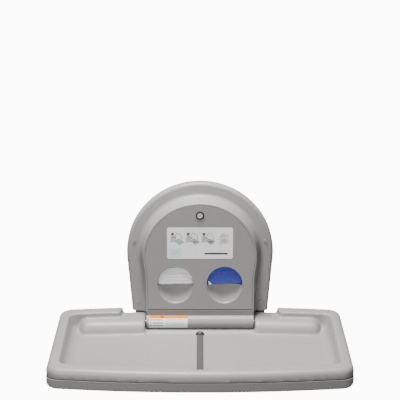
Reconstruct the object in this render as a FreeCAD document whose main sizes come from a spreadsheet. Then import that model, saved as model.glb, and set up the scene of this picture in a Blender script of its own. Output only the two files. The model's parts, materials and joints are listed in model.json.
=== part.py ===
import FreeCAD, Part
import math
import os
import Sketcher
from types import SimpleNamespace

# Wall-mounted horizontal changing station, bed folded down.
# Millimetres. X to the right, -Y out of the wall, +Z up. The wall is the plane Y = 0.
# The origin is the centre of the wall plate's bolt pattern, on the wall.
# "out" is a distance from the wall, so out = -Y.

DRIVING = {
    # bed
    "bed_width": 886.0,          # across the middle
    "bed_length": 508.0,         # rear edge to front edge, on the centre line
    "bed_thick": 63.0,
    "side_bow": 7.0,             # how much the bed's sides bulge
    "end_bow": 29.0,             # how much its front and rear edges bulge
    "bed_corner": 35.0,
    "parting_drop": 30.0,        # parting line below the rim
    "rim_round": 16.0,
    "base_round": 16.0,
    "skin": 3.0,                 # wall of the moulded shells
    "rim_front": 52.0,
    "rim_rear": 50.0,
    "rim_side": 36.0,
    "tub_depth": 50.0,
    "tub_side_slope": 40.0,
    "tub_front_slope": 6.0,
    "tub_corner": 24.0,
    "rear_gap_half": 237.0,      # half width of the gap in the rear rim
    "rear_gap_flare": 14.0,
    "bulge_drop": 13.0,          # top of the hinge bulges below the rim
    "bulge_round": 38.0,
    "bulge_foot": 99.0,          # foot of the bulge in front of the bed's rear edge
    "bulge_margin": 47.0,        # bulge's outer end to the bed's side
    "ledge_rise": 8.0,           # top of the ledge above the tub's floor
    "strap_notch": 44.0,
    "strap_notch_drop": 12.0,
    "strap_notch_reach": 22.0,
    # hinge
    "rim_level": -140.0,
    "hinge_drop": 29.0,          # hinge axis below the rim
    "hinge_out": 64.0,
    "rear_clear": 12.0,          # bed's rear edge to the wall, bed down
    "rod_radius": 7.0,
    "rod_half": 200.0,
    "running_clear": 0.05,
    "bush_wall": 2.5,
    "ear_inset": 17.0,           # brackets' inner faces inside the barrel's ends
    "ear_thick": 5.0,
    "ear_radius": 17.0,
    "arm_outset": 17.0,          # arms' inner faces outside the barrel's ends
    "arm_thick": 4.0,
    "arm_eye": 12.0,
    "arm_reach": 250.0,
    "flange_width": 40.0,
    "flange_thick": 3.0,
    "barrel_radius": 24.0,
    "cover_wall": 2.5,
    "cover_half": 167.0,
    "cover_front": 70.0,
    "crank_room": 8.0,           # the barrel's underside is open from here back
    "side_clear": 3.0,           # barrel's ends to the bed
    "caution_inset": 8.0,        # small label's left end inside the barrel's
    "caution_width": 120.0,
    # steel panel
    "panel_side_margin": 65.0,
    "panel_front_margin": 65.0,
    "panel_rear_margin": 55.0,
    "panel_thick": 1.2,
    "panel_recess": 2.0,
    "panel_corner": 9.0,
    # housing
    "arch_centre": 44.0,
    "arch_radius": 228.0,
    "body_radius": 174.5,
    "body_out": 73.0,
    "bottom_half": 213.0,
    "shell_bottom": -147.0,
    "cove_floor": 28.0,
    "bead_floor": 26.0,
    "bead_round": 12.0,
    "cove_round": 14.0,
    "cove_width": 24.0,          # from the front body to the foot of the cove
    "flank_lean": 75.0,          # degrees of the cove's arc before its straight flank
    "flank_set": 2.2,            # how far the flank stands outside the front body in the scoops
    "scoop_top": -42.0,
    "scoop_full": -105.0,
    "strip_width": 4.5,
    "lip_width": 6.5,
    "lip_out": 66.0,
    "lip_relief": 11.0,          # the lip stops this far above the door's pins
    "waist_length": 76.0,        # height of the S-bend in the housing's sides
    "shelf_top": -126.5,
    "shelf_thick": 3.5,
    # door
    "door_gap": 1.0,
    "door_out": 74.0,
    "door_wall": 3.0,
    "door_bottom": -124.0,
    "door_pin_z": -119.0,
    "door_pin_out": 71.8,
    "door_pin_radius": 1.2,
    "window_x": 76.0,
    "window_z": -45.0,           # its flat lower edge
    "window_rise": 6.0,          # centre of its arc above the flat edge
    "window_radius": 55.0,
    "scoop_height": 60.0,
    "scoop_depth": 19.0,
    "scoop_wall": 2.0,
    "lock_z": 182.0,
    "plug_radius": 8.0,
    "bezel_radius": 13.0,
    "cam_length": 30.0,
    "label_width": 202.0,
    "label_height": 101.0,
    "label_z": 93.0,
    "label_thick": 0.4,
    # liners
    "bay_width": 110.0,
    "bay_wall": 2.5,
    "bay_floor": -112.0,
    "bay_height": 172.0,
    "bay_back": 13.0,
    "bay_front": 52.0,
    "liner_clear": 0.6,
    "liner_height": 150.0,
    # wall plate
    "plate_thick": 3.0,
    "plate_half": 211.5,
    "plate_top": 113.0,
    "plate_bottom": -115.0,
    "tail_half": 205.0,
    "tail_bottom": -204.0,
    "bolt_x": 406.4,
    "bolt_z": 200.0,
    "bolt_hole": 4.5,
    "bumper_radius": 9.0,
    "bumper_x": 190.0,
    # gas spring
    "crank_radius": 26.0,
    "crank_thick": 6.0,
    "crank_pin": 4.0,
    "spring_radius": 9.0,
    "spring_bottom": -60.0,
    "spring_length": 120.0,
    "spring_rod": 4.0,
    "gap": 0.3,                  # between pieces that only pass each other
    # strap
    "strap_width": 20.0,
    "strap_thick": 2.0,
}


class Size:
    """A length with its value and the spreadsheet formula that gives it."""

    def __init__(self, value, formula):
        self.value = float(value)
        self.formula = formula

    def mix(self, other, sign, result):
        text = other.formula if isinstance(other, Size) else repr(float(other))
        return Size(result, f"({self.formula} {sign} {text})")

    def __add__(self, other):
        return self.mix(other, "+", self.value + float(other))

    def __sub__(self, other):
        return self.mix(other, "-", self.value - float(other))

    def __mul__(self, other):
        return self.mix(other, "*", self.value * float(other))

    def __truediv__(self, other):
        return self.mix(other, "/", self.value / float(other))

    def __neg__(self):
        return Size(-self.value, f"(-1 * {self.formula})")

    def __float__(self):
        return self.value


doc = FreeCAD.newDocument("changing_station")
sheet = doc.addObject("Spreadsheet::Sheet", "Sizes")
for row, (alias, number) in enumerate(DRIVING.items(), start=1):
    sheet.set(f"A{row}", alias)
    sheet.set(f"B{row}", str(number))
    sheet.setAlias(f"B{row}", alias)
doc.recompute()
d = SimpleNamespace(**{name: Size(number, f"Sizes.{name}") for name, number in DRIVING.items()})
v = SimpleNamespace(**DRIVING)
for sizes in (d, v):
    sizes.ear_x = sizes.cover_half - sizes.ear_inset
    sizes.arm_x = sizes.cover_half + sizes.arm_outset

V = FreeCAD.Vector
SLANT = math.sqrt(0.5)           # sine and cosine of 45 degrees
parts = {}


# ---------------------------------------------------------------- helpers

def sized(number):
    """A plain number as a size of its own."""
    return number if isinstance(number, Size) else Size(number, repr(float(number)))


def bind(obj, prop, size):
    """Tie a property to its formula."""
    obj.setExpression(prop, sized(size).formula)


def place(obj, x, y, z):
    for axis, size in zip("xyz", (x, y, z)):
        bind(obj, f"Placement.Base.{axis}", size)


def box(name, x, out, z, width, depth, height):
    """A box whose lowest x, nearest wall distance and lowest z are given."""
    obj = doc.addObject("Part::Box", name)
    bind(obj, "Length", width)
    bind(obj, "Width", depth)
    bind(obj, "Height", height)
    place(obj, x, -(sized(out) + depth), z)
    return obj


TURNS = {"x": FreeCAD.Rotation(V(0, 1, 0), 90), "y": FreeCAD.Rotation(V(1, 0, 0), 90),
         "z": FreeCAD.Rotation()}


def rod(name, axis, x, out, z, radius, length):
    """A cylinder along +X, -Y (out of the wall) or +Z from the given point."""
    obj = doc.addObject("Part::Cylinder", name)
    bind(obj, "Radius", radius)
    bind(obj, "Height", length)
    obj.Placement = FreeCAD.Placement(V(0, 0, 0), TURNS[axis])
    place(obj, x, -out, z)
    return obj


def cut(name, base, *tools):
    """Base minus each tool."""
    for number, tool in enumerate(tools):
        step = doc.addObject("Part::Cut", f"{name}_cut{number}")
        step.Base = base
        step.Tool = tool
        base = step
    return base


def fuse(name, *pieces):
    obj = doc.addObject("Part::MultiFuse", f"{name}_fuse")
    obj.Shapes = list(pieces)
    return obj


def part(name, obj):
    """Register a finished sub-part under its own label."""
    obj.Label = name
    parts[name] = obj
    return obj


def feature(name, shape):
    """A sub-part whose shape is built with Part's own functions."""
    obj = doc.addObject("Part::Feature", name)
    obj.Shape = shape
    obj.Placement = FreeCAD.Placement()
    return part(name, obj)


def group(name, pieces):
    obj = doc.addObject("Part::Compound", f"{name}_group")
    obj.Links = list(pieces)
    return part(name, obj)


def new_body(name):
    body = doc.addObject("PartDesign::Body", f"{name}_body")
    doc.recompute()
    return body


def new_sketch(body, role, name, offset=None):
    """A sketch on one of the body's own origin planes, moved along its normal by offset."""
    sketch = body.newObject("Sketcher::SketchObject", name)
    plane = next(f for f in body.Origin.OriginFeatures if f.Role == role)
    sketch.AttachmentSupport = (plane, "")
    sketch.MapMode = "FlatFace"
    if offset is not None:
        bind(sketch, "AttachmentOffset.Base.z", offset)
    return sketch


def fix_point(sketch, geometry, end, point):
    """Tie a sketch point to two sizes measured from the sketch's origin."""
    for kind, size in zip(("DistanceX", "DistanceY"), point):
        rule = Sketcher.Constraint(kind, -1, 1, geometry, end, float(size))
        number = sketch.addConstraint(rule)
        bind(sketch, f"Constraints[{number}]", size)


def outline(sketch, points):
    """A closed polygon through points given as pairs of sizes."""
    count = len(points)
    first = sketch.GeometryCount
    for number in range(count):
        a, b = points[number], points[(number + 1) % count]
        line = Part.LineSegment(V(float(a[0]), float(a[1]), 0), V(float(b[0]), float(b[1]), 0))
        sketch.addGeometry(line, False)
    for number in range(count):
        after = first + (number + 1) % count
        sketch.addConstraint(Sketcher.Constraint("Coincident", first + number, 2, after, 1))
        fix_point(sketch, first + number, 1, points[number])


def circle(sketch, centre, radius):
    number = sketch.addGeometry(
        Part.Circle(V(float(centre[0]), float(centre[1]), 0), V(0, 0, 1), float(radius)), False)
    fix_point(sketch, number, 3, centre)
    rule = sketch.addConstraint(Sketcher.Constraint("Radius", number, float(radius)))
    bind(sketch, f"Constraints[{rule}]", radius)


def pad(body, sketch, length, reverse=False):
    obj = body.newObject("PartDesign::Pad", f"{sketch.Name}_pad")
    obj.Profile = sketch
    bind(obj, "Length", length)
    obj.Reversed = reverse
    body.Tip = obj
    doc.recompute()
    return obj


def pocket(body, sketch, reverse=False):
    """Cut the sketch through everything, and make sure that it cut something."""
    before = body.Shape.Volume
    obj = body.newObject("PartDesign::Pocket", f"{sketch.Name}_pocket")
    obj.Profile = sketch
    obj.Type = 1
    obj.Midplane = True
    obj.Reversed = reverse
    body.Tip = obj
    doc.recompute()
    if not body.Shape.Volume < before - 1e-6:
        raise RuntimeError(f"{sketch.Name} cut nothing")
    return obj


def at(x, out, z):
    return V(x, -out, z)


def prism(points, along):
    """A solid from a closed polygon of vectors, extruded by a vector."""
    wire = Part.makePolygon(list(points) + [points[0]])
    return Part.Face(wire).extrude(along)


def block(x0, x1, out0, out1, z0, z1):
    return Part.makeBox(x1 - x0, out1 - out0, z1 - z0, V(x0, -out1, z0))


# ---------------------------------------------------------------- shared places

hinge_z = d.rim_level - d.hinge_drop
HINGE_Z = float(hinge_z)
RIM = v.rim_level
REAR = v.rear_clear
FRONT = v.rear_clear + v.bed_length
BOW_RADIUS = ((v.bed_width / 2 - v.side_bow) ** 2 + v.end_bow ** 2) / (2 * v.end_bow)
NOTCH_HALF = v.cover_half + v.side_clear
LEDGE_OUT = v.hinge_out + v.barrel_radius + v.side_clear
FLOOR = RIM - v.tub_depth
BASE_FLOOR = RIM - v.bed_thick + v.panel_recess + v.skin
SIDES = (("left", -1.0), ("right", 1.0))


# ---------------------------------------------------------------- bed

def bow(x):
    """How far the front and rear edges have curved back at x."""
    return BOW_RADIUS - math.sqrt(BOW_RADIUS ** 2 - x ** 2)


def bed_prism(front, rear, side, corner, z0, z1):
    """The bed's outline moved in by front, rear and side, as a prism with round corners."""
    edge_x = v.bed_width / 2 - v.side_bow - side
    middle_x = v.bed_width / 2 - side
    front_out, rear_out = FRONT - front, REAR + rear
    middle_out = (front_out + rear_out) / 2
    corner_front = front_out - bow(edge_x)
    corner_rear = rear_out + bow(edge_x)
    arcs = [
        (at(-edge_x, corner_front, z0), at(0, front_out, z0), at(edge_x, corner_front, z0)),
        (at(edge_x, corner_front, z0), at(middle_x, middle_out, z0), at(edge_x, corner_rear, z0)),
        (at(edge_x, corner_rear, z0), at(0, rear_out, z0), at(-edge_x, corner_rear, z0)),
        (at(-edge_x, corner_rear, z0), at(-middle_x, middle_out, z0), at(-edge_x, corner_front, z0)),
    ]
    face = Part.Face(Part.Wire([Part.Arc(*arc).toShape() for arc in arcs]))
    solid = face.extrude(V(0, 0, z1 - z0))
    upright = [e for e in solid.Edges if abs(e.Vertexes[0].Z - e.Vertexes[-1].Z) > (z1 - z0) / 2]
    return solid.makeFillet(corner, upright)


def level_edges(solid, z):
    """The edges of a solid that lie at height z."""
    return [e for e in solid.Edges if all(abs(p.Z - z) < 1e-4 for p in e.Vertexes)
            and abs(e.BoundBox.ZMax - e.BoundBox.ZMin) < 1e-3]


def level_wire(solid, z):
    face = next(f for f in solid.Faces if abs(f.BoundBox.ZMin - z) < 1e-4 and abs(f.BoundBox.ZMax - z) < 1e-4)
    return face.OuterWire


def tub(grow, top):
    """The tub's hollow: sloped walls from the rim's opening to the floor, grown by a wall."""
    upper = bed_prism(v.rim_front - grow, v.rim_rear - grow, v.rim_side - grow, v.tub_corner, RIM, RIM + 1)
    lower = bed_prism(v.rim_front + v.tub_front_slope - grow, v.rim_rear - grow,
                      v.rim_side + v.tub_side_slope - grow, v.tub_corner, FLOOR - grow, RIM)
    hollow = Part.makeLoft([level_wire(lower, FLOOR - grow), level_wire(upper, RIM)], True, True)
    if top:
        hollow = hollow.fuse(bed_prism(v.rim_front - grow, v.rim_rear - grow, v.rim_side - grow,
                                       v.tub_corner, RIM, RIM + v.rim_round))
    return hollow


def bulge(wall):
    """The rounded housings for the hinge arms, following the bed's rear edge, without the middle."""
    rear = REAR + wall
    foot = REAR + v.bulge_foot - wall
    top = RIM - v.bulge_drop - wall
    radius = v.bulge_round - wall
    bottom = FLOOR - v.skin - (v.skin if wall else 0)
    corner = foot - radius
    low = top - radius
    slant = SLANT * radius
    edges = [
        Part.LineSegment(at(0, rear, bottom), at(0, rear, top)).toShape(),
        Part.LineSegment(at(0, rear, top), at(0, corner, top)).toShape(),
        Part.Arc(at(0, corner, top), at(0, corner + slant, low + slant), at(0, foot, low)).toShape(),
        Part.LineSegment(at(0, foot, low), at(0, foot, bottom)).toShape(),
        Part.LineSegment(at(0, foot, bottom), at(0, rear, bottom)).toShape(),
    ]
    half = v.bed_width / 2 - v.bulge_margin - wall
    half_angle = math.degrees(math.asin(half / (BOW_RADIUS - v.bulge_foot)))
    pivot = at(0, REAR + BOW_RADIUS, 0)
    face = Part.Face(Part.Wire(edges))
    face.rotate(pivot, V(0, 0, 1), -half_angle)
    bar = face.revolve(pivot, V(0, 0, 1), 2 * half_angle)
    return bar.cut(block(-NOTCH_HALF - wall, NOTCH_HALF + wall, 0, LEDGE_OUT * 2, RIM - 100, RIM + 1))


def rear_gap(grow):
    """The gap in the rear rim, between the two slanted rim ends."""
    half = v.rear_gap_half + grow
    far = v.rim_rear + REAR + v.end_bow
    z = RIM - v.bulge_drop - grow
    corners = [at(-half, -1, z), at(half, -1, z), at(half + v.rear_gap_flare, far, z),
               at(-half - v.rear_gap_flare, far, z)]
    return prism(corners, V(0, 0, v.bulge_drop + v.rim_round))


def rod_slot():
    """Room for the hinge rod through both mouldings."""
    reach = NOTCH_HALF + 2 * v.skin
    return Part.makeCylinder(v.rod_radius + 2, 2 * reach, at(-reach, v.hinge_out, HINGE_Z), V(1, 0, 0))


def make_bed_tray():
    rim_bottom = RIM - v.parting_drop
    rim_block = bed_prism(0, 0, 0, v.bed_corner, rim_bottom, RIM)
    rim_block = rim_block.makeFillet(v.rim_round, level_edges(rim_block, RIM))
    inside = bed_prism(v.skin, v.skin, v.skin, v.bed_corner - v.skin, rim_bottom - 1, RIM - v.skin)
    inside = inside.makeFillet(v.rim_round - v.skin, level_edges(inside, RIM - v.skin))
    tub_outer = tub(v.skin, False)
    solid_bulge = bulge(0)
    gap_box = bed_prism(v.skin, v.skin, v.skin, v.bed_corner - v.skin, rim_bottom - 1, RIM)
    free = tub(0, True).fuse(rear_gap(0)).cut(solid_bulge)
    hollow = inside.cut(tub_outer).cut(rear_gap(v.skin).common(gap_box))
    ledge = prism([at(-NOTCH_HALF - v.skin, out, z) for out, z in (
        (LEDGE_OUT, FLOOR - v.skin), (LEDGE_OUT, FLOOR + v.ledge_rise), (LEDGE_OUT + 6, FLOOR + v.ledge_rise),
        (LEDGE_OUT + 20, FLOOR), (LEDGE_OUT + 20, FLOOR - v.skin))], V(2 * NOTCH_HALF + 2 * v.skin, 0, 0))
    notch = block(-NOTCH_HALF, NOTCH_HALF, -1, LEDGE_OUT, RIM - v.bed_thick - 1, RIM + 1)
    bed_space = bed_prism(0, 0, 0, v.bed_corner, FLOOR - v.skin, RIM)
    solid = rim_block.fuse([tub_outer, solid_bulge.common(bed_space)])
    solid = solid.cut(free)
    solid = solid.cut(hollow)
    solid = solid.cut(bulge(v.skin))
    solid = solid.fuse(ledge.cut(solid_bulge)).cut(notch)
    strap_notch = block(-v.strap_notch / 2, v.strap_notch / 2, FRONT - v.rim_front - v.tub_front_slope,
                        FRONT - v.rim_front + v.strap_notch_reach, RIM - v.strap_notch_drop, RIM + 1)
    notch_plate = block(-v.strap_notch / 2 - v.skin, v.strap_notch / 2 + v.skin, FRONT - v.rim_front,
                        FRONT - v.rim_front + v.strap_notch_reach + v.skin,
                        RIM - v.strap_notch_drop - v.skin, RIM - v.skin)
    solid = solid.fuse(notch_plate).cut(strap_notch).cut(rod_slot())
    return feature("bed_tray", solid)


def panel_prism(grow, z0, z1):
    rear = v.panel_rear_margin - grow
    front = v.panel_front_margin - grow
    side = v.panel_side_margin - grow
    return bed_prism(front, rear, side, v.panel_corner + grow, z0, z1)


def arm_screw_places():
    """Screws that hold the hinge arms' flanges to the bed base."""
    outs = [v.hinge_out + v.arm_reach * share for share in (0.35, 0.6, 0.85)]
    xs = [side * (v.arm_x + v.arm_thick + v.flange_width / 2) for _, side in SIDES]
    return [(x, out) for x in xs for out in outs]


SCREW_RADIUS = 2.5
SCREW_CLEAR = 0.3
HEAD_RADIUS = 5.5
HEAD_THICK = 1.6


def make_bed_base(tray):
    bottom, top = RIM - v.bed_thick, RIM - v.parting_drop
    outer = bed_prism(0, 0, 0, v.bed_corner, bottom, top)
    outer = outer.makeFillet(v.base_round, level_edges(outer, bottom))
    inner = bed_prism(v.skin, v.skin, v.skin, v.bed_corner - v.skin, BASE_FLOOR, top + 1)
    inner = inner.makeFillet(v.base_round - 2 * v.skin, level_edges(inner, BASE_FLOOR))
    solid = outer.cut(inner)
    wall_half = NOTCH_HALF + v.skin
    wall = block(-wall_half, wall_half, REAR + v.skin, LEDGE_OUT + v.skin, BASE_FLOOR, top)
    opening = block(-NOTCH_HALF, NOTCH_HALF, -1, LEDGE_OUT, BASE_FLOOR, top + 1)
    solid = solid.fuse(wall.cut(opening))
    under_barrel = HINGE_Z - v.barrel_radius - v.side_clear
    rear_drop = block(-NOTCH_HALF, NOTCH_HALF, -1, LEDGE_OUT, under_barrel, top + 1)
    solid = solid.cut(rear_drop).cut(panel_prism(v.gap, bottom - 1, bottom + v.panel_recess))
    for x, out in arm_screw_places():
        hole = Part.makeCylinder(SCREW_RADIUS + SCREW_CLEAR, v.bed_thick, at(x, out, bottom))
        seat = Part.makeCylinder(HEAD_RADIUS + SCREW_CLEAR, HEAD_THICK, at(x, out, bottom + v.panel_recess))
        solid = solid.cut(hole).cut(seat)
    solid = solid.cut(rod_slot()).cut(tray.Shape)
    biggest = max(solid.Solids, key=lambda s: s.Volume)
    return feature("bed_base", biggest.removeSplitter())


def make_steel_panel():
    top = RIM - v.bed_thick + v.panel_recess
    return feature("steel_panel", panel_prism(0, top - v.panel_thick, top))


def make_arm(side_name, side):
    """Flat eye on the hinge rod, with a flange that runs under the tub."""
    inner_x = side * v.arm_x
    web = side * v.arm_thick
    flange_top = BASE_FLOOR + v.flange_thick
    eye = Part.makeCylinder(v.arm_eye, v.arm_thick, at(inner_x, v.hinge_out, HINGE_Z), V(side, 0, 0))
    web_outline = [(v.hinge_out, HINGE_Z + v.arm_eye), (v.hinge_out + 20, HINGE_Z + 4),
                   (LEDGE_OUT + 12, flange_top), (LEDGE_OUT + 12, BASE_FLOOR), (v.hinge_out - 10, BASE_FLOOR),
                   (v.hinge_out - v.arm_eye + 1, HINGE_Z)]
    plate = prism([at(inner_x, out, z) for out, z in web_outline], V(web, 0, 0))
    x_far = side * (v.arm_x + v.arm_thick + v.flange_width)
    flange = block(min(inner_x, x_far), max(inner_x, x_far), v.hinge_out - 10, v.hinge_out + v.arm_reach,
                   BASE_FLOOR, flange_top)
    bore_start = at(inner_x - side * v.arm_thick, v.hinge_out, HINGE_Z)
    solid = eye.fuse([plate, flange])
    solid = solid.cut(Part.makeCylinder(v.rod_radius, 3 * v.arm_thick, bore_start, V(side, 0, 0)))
    for x, out in arm_screw_places():
        screw_hole = Part.makeCylinder(SCREW_RADIUS + SCREW_CLEAR, v.bed_thick, at(x, out, BASE_FLOOR - 1))
        solid = solid.cut(screw_hole)
    return feature(f"hinge_arm_{side_name}", solid.removeSplitter())


def make_arm_screws():
    seat = d.rim_level - d.bed_thick + d.panel_recess
    screws = []
    for number, (x, out) in enumerate(arm_screw_places()):
        head = rod(f"screw_head_{number}", "z", x, sized(out), seat, HEAD_RADIUS, HEAD_THICK)
        shank = rod(f"screw_shank_{number}", "z", x, sized(out), seat, SCREW_RADIUS,
                    d.skin + d.flange_thick + 0.6)
        screws.append(fuse(f"screw_{number}", head, shank))
    return group("arm_screws", screws)


STRAP_START = LEDGE_OUT + 22
STRAP_OFF_WALL = 1.2             # the webbing stands this far off the tub's front wall


def make_strap():
    """Webbing from the guide along the floor, up the tub's front wall and into the rim's notch."""
    lift = v.gap
    thick = v.strap_thick
    start = STRAP_START
    end = FRONT - v.rim_front + 12
    shelf = RIM - v.strap_notch_drop + lift
    foot = FRONT - v.rim_front - v.tub_front_slope - STRAP_OFF_WALL
    slope = v.tub_front_slope / v.tub_depth
    top = foot + slope * (shelf - FLOOR)
    lower = [(start, FLOOR + lift), (foot, FLOOR + lift), (top, shelf), (end, shelf)]
    upper = [(end, shelf + thick), (top - thick, shelf + thick), (foot - thick, FLOOR + lift + thick),
             (start, FLOOR + lift + thick)]
    side = -v.strap_width / 2
    return feature("strap", prism([at(side, out, z) for out, z in lower + upper], V(v.strap_width, 0, 0)))


def make_strap_guide():
    """Low hood that the strap's rear end comes out of."""
    width = v.strap_width + 8
    height = v.ledge_rise + 1
    rear = STRAP_START - 1
    hood = block(-width / 2, width / 2, rear, rear + 12, FLOOR, FLOOR + height)
    slot = block(-v.strap_width / 2 - v.gap, v.strap_width / 2 + v.gap, rear + 1, rear + 13,
                 FLOOR, FLOOR + v.gap * 2 + v.strap_thick)
    top = [e for e in hood.Edges if abs(e.CenterOfMass.z - FLOOR - height) < 1e-6]
    return feature("strap_guide", hood.makeFillet(4, top).cut(slot))


def make_strap_anchor():
    """Clamp plate in the notch of the front rim, over the strap's end."""
    width = v.strap_notch - 2 * v.gap
    rear = FRONT - v.rim_front + 8
    low = RIM - v.strap_notch_drop
    front = FRONT - v.rim_front + v.strap_notch_reach - v.gap
    plate = block(-width / 2, width / 2, rear, front, low, low + 6)
    slot = block(-v.strap_width / 2 - v.gap, v.strap_width / 2 + v.gap, rear - 1, rear + 6,
                 low, low + v.strap_thick + 2 * v.gap)
    return feature("strap_anchor", plate.cut(slot))


# ---------------------------------------------------------------- hinge

def make_hinge_rod():
    return part("hinge_rod", rod("hinge_rod", "x", -d.rod_half, d.hinge_out, hinge_z, d.rod_radius,
                                 d.rod_half * 2))


def make_rod_clips():
    clips = []
    for side_name, side in SIDES:
        start = d.arm_x + d.arm_thick
        x = start if side > 0 else -(start + 3.0)
        ring = rod(f"clip_{side_name}", "x", x, d.hinge_out, hinge_z, d.rod_radius + 3.0, 3.0)
        bore = rod(f"clip_bore_{side_name}", "x", x, d.hinge_out, hinge_z, d.rod_radius, 3.0)
        clips.append(cut(f"clip_{side_name}", ring, bore))
    return group("rod_clips", clips)


def make_bracket(side_name, side):
    """Foot on the wall plate and an ear that carries the bush."""
    body = new_body(f"hinge_bracket_{side_name}")
    inner = d.ear_x if side > 0 else -(d.ear_x + d.ear_thick)
    ear = new_sketch(body, "YZ_Plane", f"ear_{side_name}", inner)
    foot_out = d.plate_thick
    tip = d.hinge_out
    corner = d.ear_radius * 0.7
    outline(ear, [(-foot_out, hinge_z - d.ear_radius), (-tip, hinge_z - d.ear_radius),
                  (-(tip + corner), hinge_z - corner), (-(tip + d.ear_radius), hinge_z),
                  (-(tip + corner), hinge_z + corner), (-tip, hinge_z + d.ear_radius),
                  (-(foot_out + 6.0), hinge_z + d.ear_radius + 18.0),
                  (-foot_out, hinge_z + d.ear_radius + 18.0)])
    pad(body, ear, d.ear_thick)
    hole = new_sketch(body, "YZ_Plane", f"ear_hole_{side_name}", inner)
    circle(hole, (-d.hinge_out, hinge_z), d.rod_radius + d.running_clear + d.bush_wall)
    pocket(body, hole)
    foot = new_sketch(body, "XZ_Plane", f"foot_{side_name}", foot_out)
    near = inner if side < 0 else inner + d.ear_thick
    far = near + (-30.0 if side > 0 else 30.0)
    outline(foot, [(near, hinge_z - d.ear_radius), (far, hinge_z - d.ear_radius),
                   (far, hinge_z + d.ear_radius + 18.0), (near, hinge_z + d.ear_radius + 18.0)])
    pad(body, foot, d.ear_thick * 0.8)
    return part(f"hinge_bracket_{side_name}", body)


def make_bush(side_name, side):
    """Flanged plastic bush pressed into the ear."""
    inner = d.ear_x if side > 0 else -(d.ear_x + d.ear_thick)
    bore_radius = d.rod_radius + d.running_clear
    sleeve = rod(f"bush_sleeve_{side_name}", "x", inner, d.hinge_out, hinge_z, bore_radius + d.bush_wall,
                 d.ear_thick)
    collar_x = inner + d.ear_thick if side > 0 else inner - 2.0
    collar = rod(f"bush_collar_{side_name}", "x", collar_x, d.hinge_out, hinge_z,
                 bore_radius + d.bush_wall + 3.0, 2.0)
    bore = rod(f"bush_bore_{side_name}", "x", inner - 10.0, d.hinge_out, hinge_z, bore_radius,
               d.ear_thick + 20.0)
    solid = fuse(f"bush_{side_name}", sleeve, collar)
    return part(f"hinge_bush_{side_name}", cut(f"bush_{side_name}", solid, bore))


def make_hinge_cover():
    """Thin cover over the middle of the hinge: flat strip above, round barrel in front."""
    radius, wall, half = v.barrel_radius, v.cover_wall, v.cover_half
    roof = v.shelf_top - v.shelf_thick

    def profile(inset, x):
        r = radius - inset
        front = v.cover_front - inset
        rise = math.sqrt(r ** 2 - (front - v.hinge_out) ** 2)
        back = v.plate_thick + v.gap
        bottom_back = v.hinge_out - v.crank_room
        top = roof - inset
        points = [at(x, back, top), at(x, front, top), at(x, front, HINGE_Z + rise)]
        low = at(x, v.hinge_out, HINGE_Z - r)
        edges = [Part.LineSegment(points[0], points[1]).toShape(),
                 Part.LineSegment(points[1], points[2]).toShape(),
                 Part.Arc(points[2], at(x, v.hinge_out + r, HINGE_Z), low).toShape(),
                 Part.LineSegment(low, at(x, bottom_back, HINGE_Z - r)).toShape(),
                 Part.LineSegment(at(x, bottom_back, HINGE_Z - r), at(x, bottom_back, HINGE_Z + r)).toShape(),
                 Part.LineSegment(at(x, bottom_back, HINGE_Z + r), at(x, back, HINGE_Z + r)).toShape(),
                 Part.LineSegment(at(x, back, HINGE_Z + r), points[0]).toShape()]
        return Part.Face(Part.Wire(edges))

    outer = profile(0, -half).extrude(V(2 * half, 0, 0))
    inner = profile(wall, -half + wall).extrude(V(2 * (half - wall), 0, 0))
    solid = outer.cut(inner)
    solid = solid.cut(block(-half + wall, half - wall, 0, v.hinge_out - v.crank_room + wall,
                            HINGE_Z - 2 * radius, roof - wall))
    solid = solid.cut(rod_opening(roof - wall - 1, roof + 1))
    room = v.rod_radius + 1
    rod_room = Part.makeCylinder(room, 2 * half + 2, at(-half - 1, v.hinge_out, HINGE_Z), V(1, 0, 0))
    slide_in = block(-half - 1, half + 1, 0, v.hinge_out, HINGE_Z - room, HINGE_Z + room)
    return feature("hinge_cover", solid.cut(rod_room).cut(slide_in).removeSplitter())


def make_caution_label():
    """Thin curved label on the left of the barrel."""
    left = v.caution_inset - v.cover_half
    right = left + v.caution_width
    r0 = v.barrel_radius
    ring = Part.makeCylinder(r0 + v.label_thick, right - left, at(left, v.hinge_out, HINGE_Z), V(1, 0, 0))
    ring = ring.cut(Part.makeCylinder(r0, right - left, at(left, v.hinge_out, HINGE_Z), V(1, 0, 0)))
    reach = 2 * r0
    keep = prism([at(left, v.hinge_out, HINGE_Z)] + [
        at(left, v.hinge_out + reach * math.cos(math.radians(a)), HINGE_Z + reach * math.sin(math.radians(a)))
        for a in (70, 20, -30)], V(right - left, 0, 0))
    return feature("caution_label", ring.common(keep))


# ---------------------------------------------------------------- housing

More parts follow.
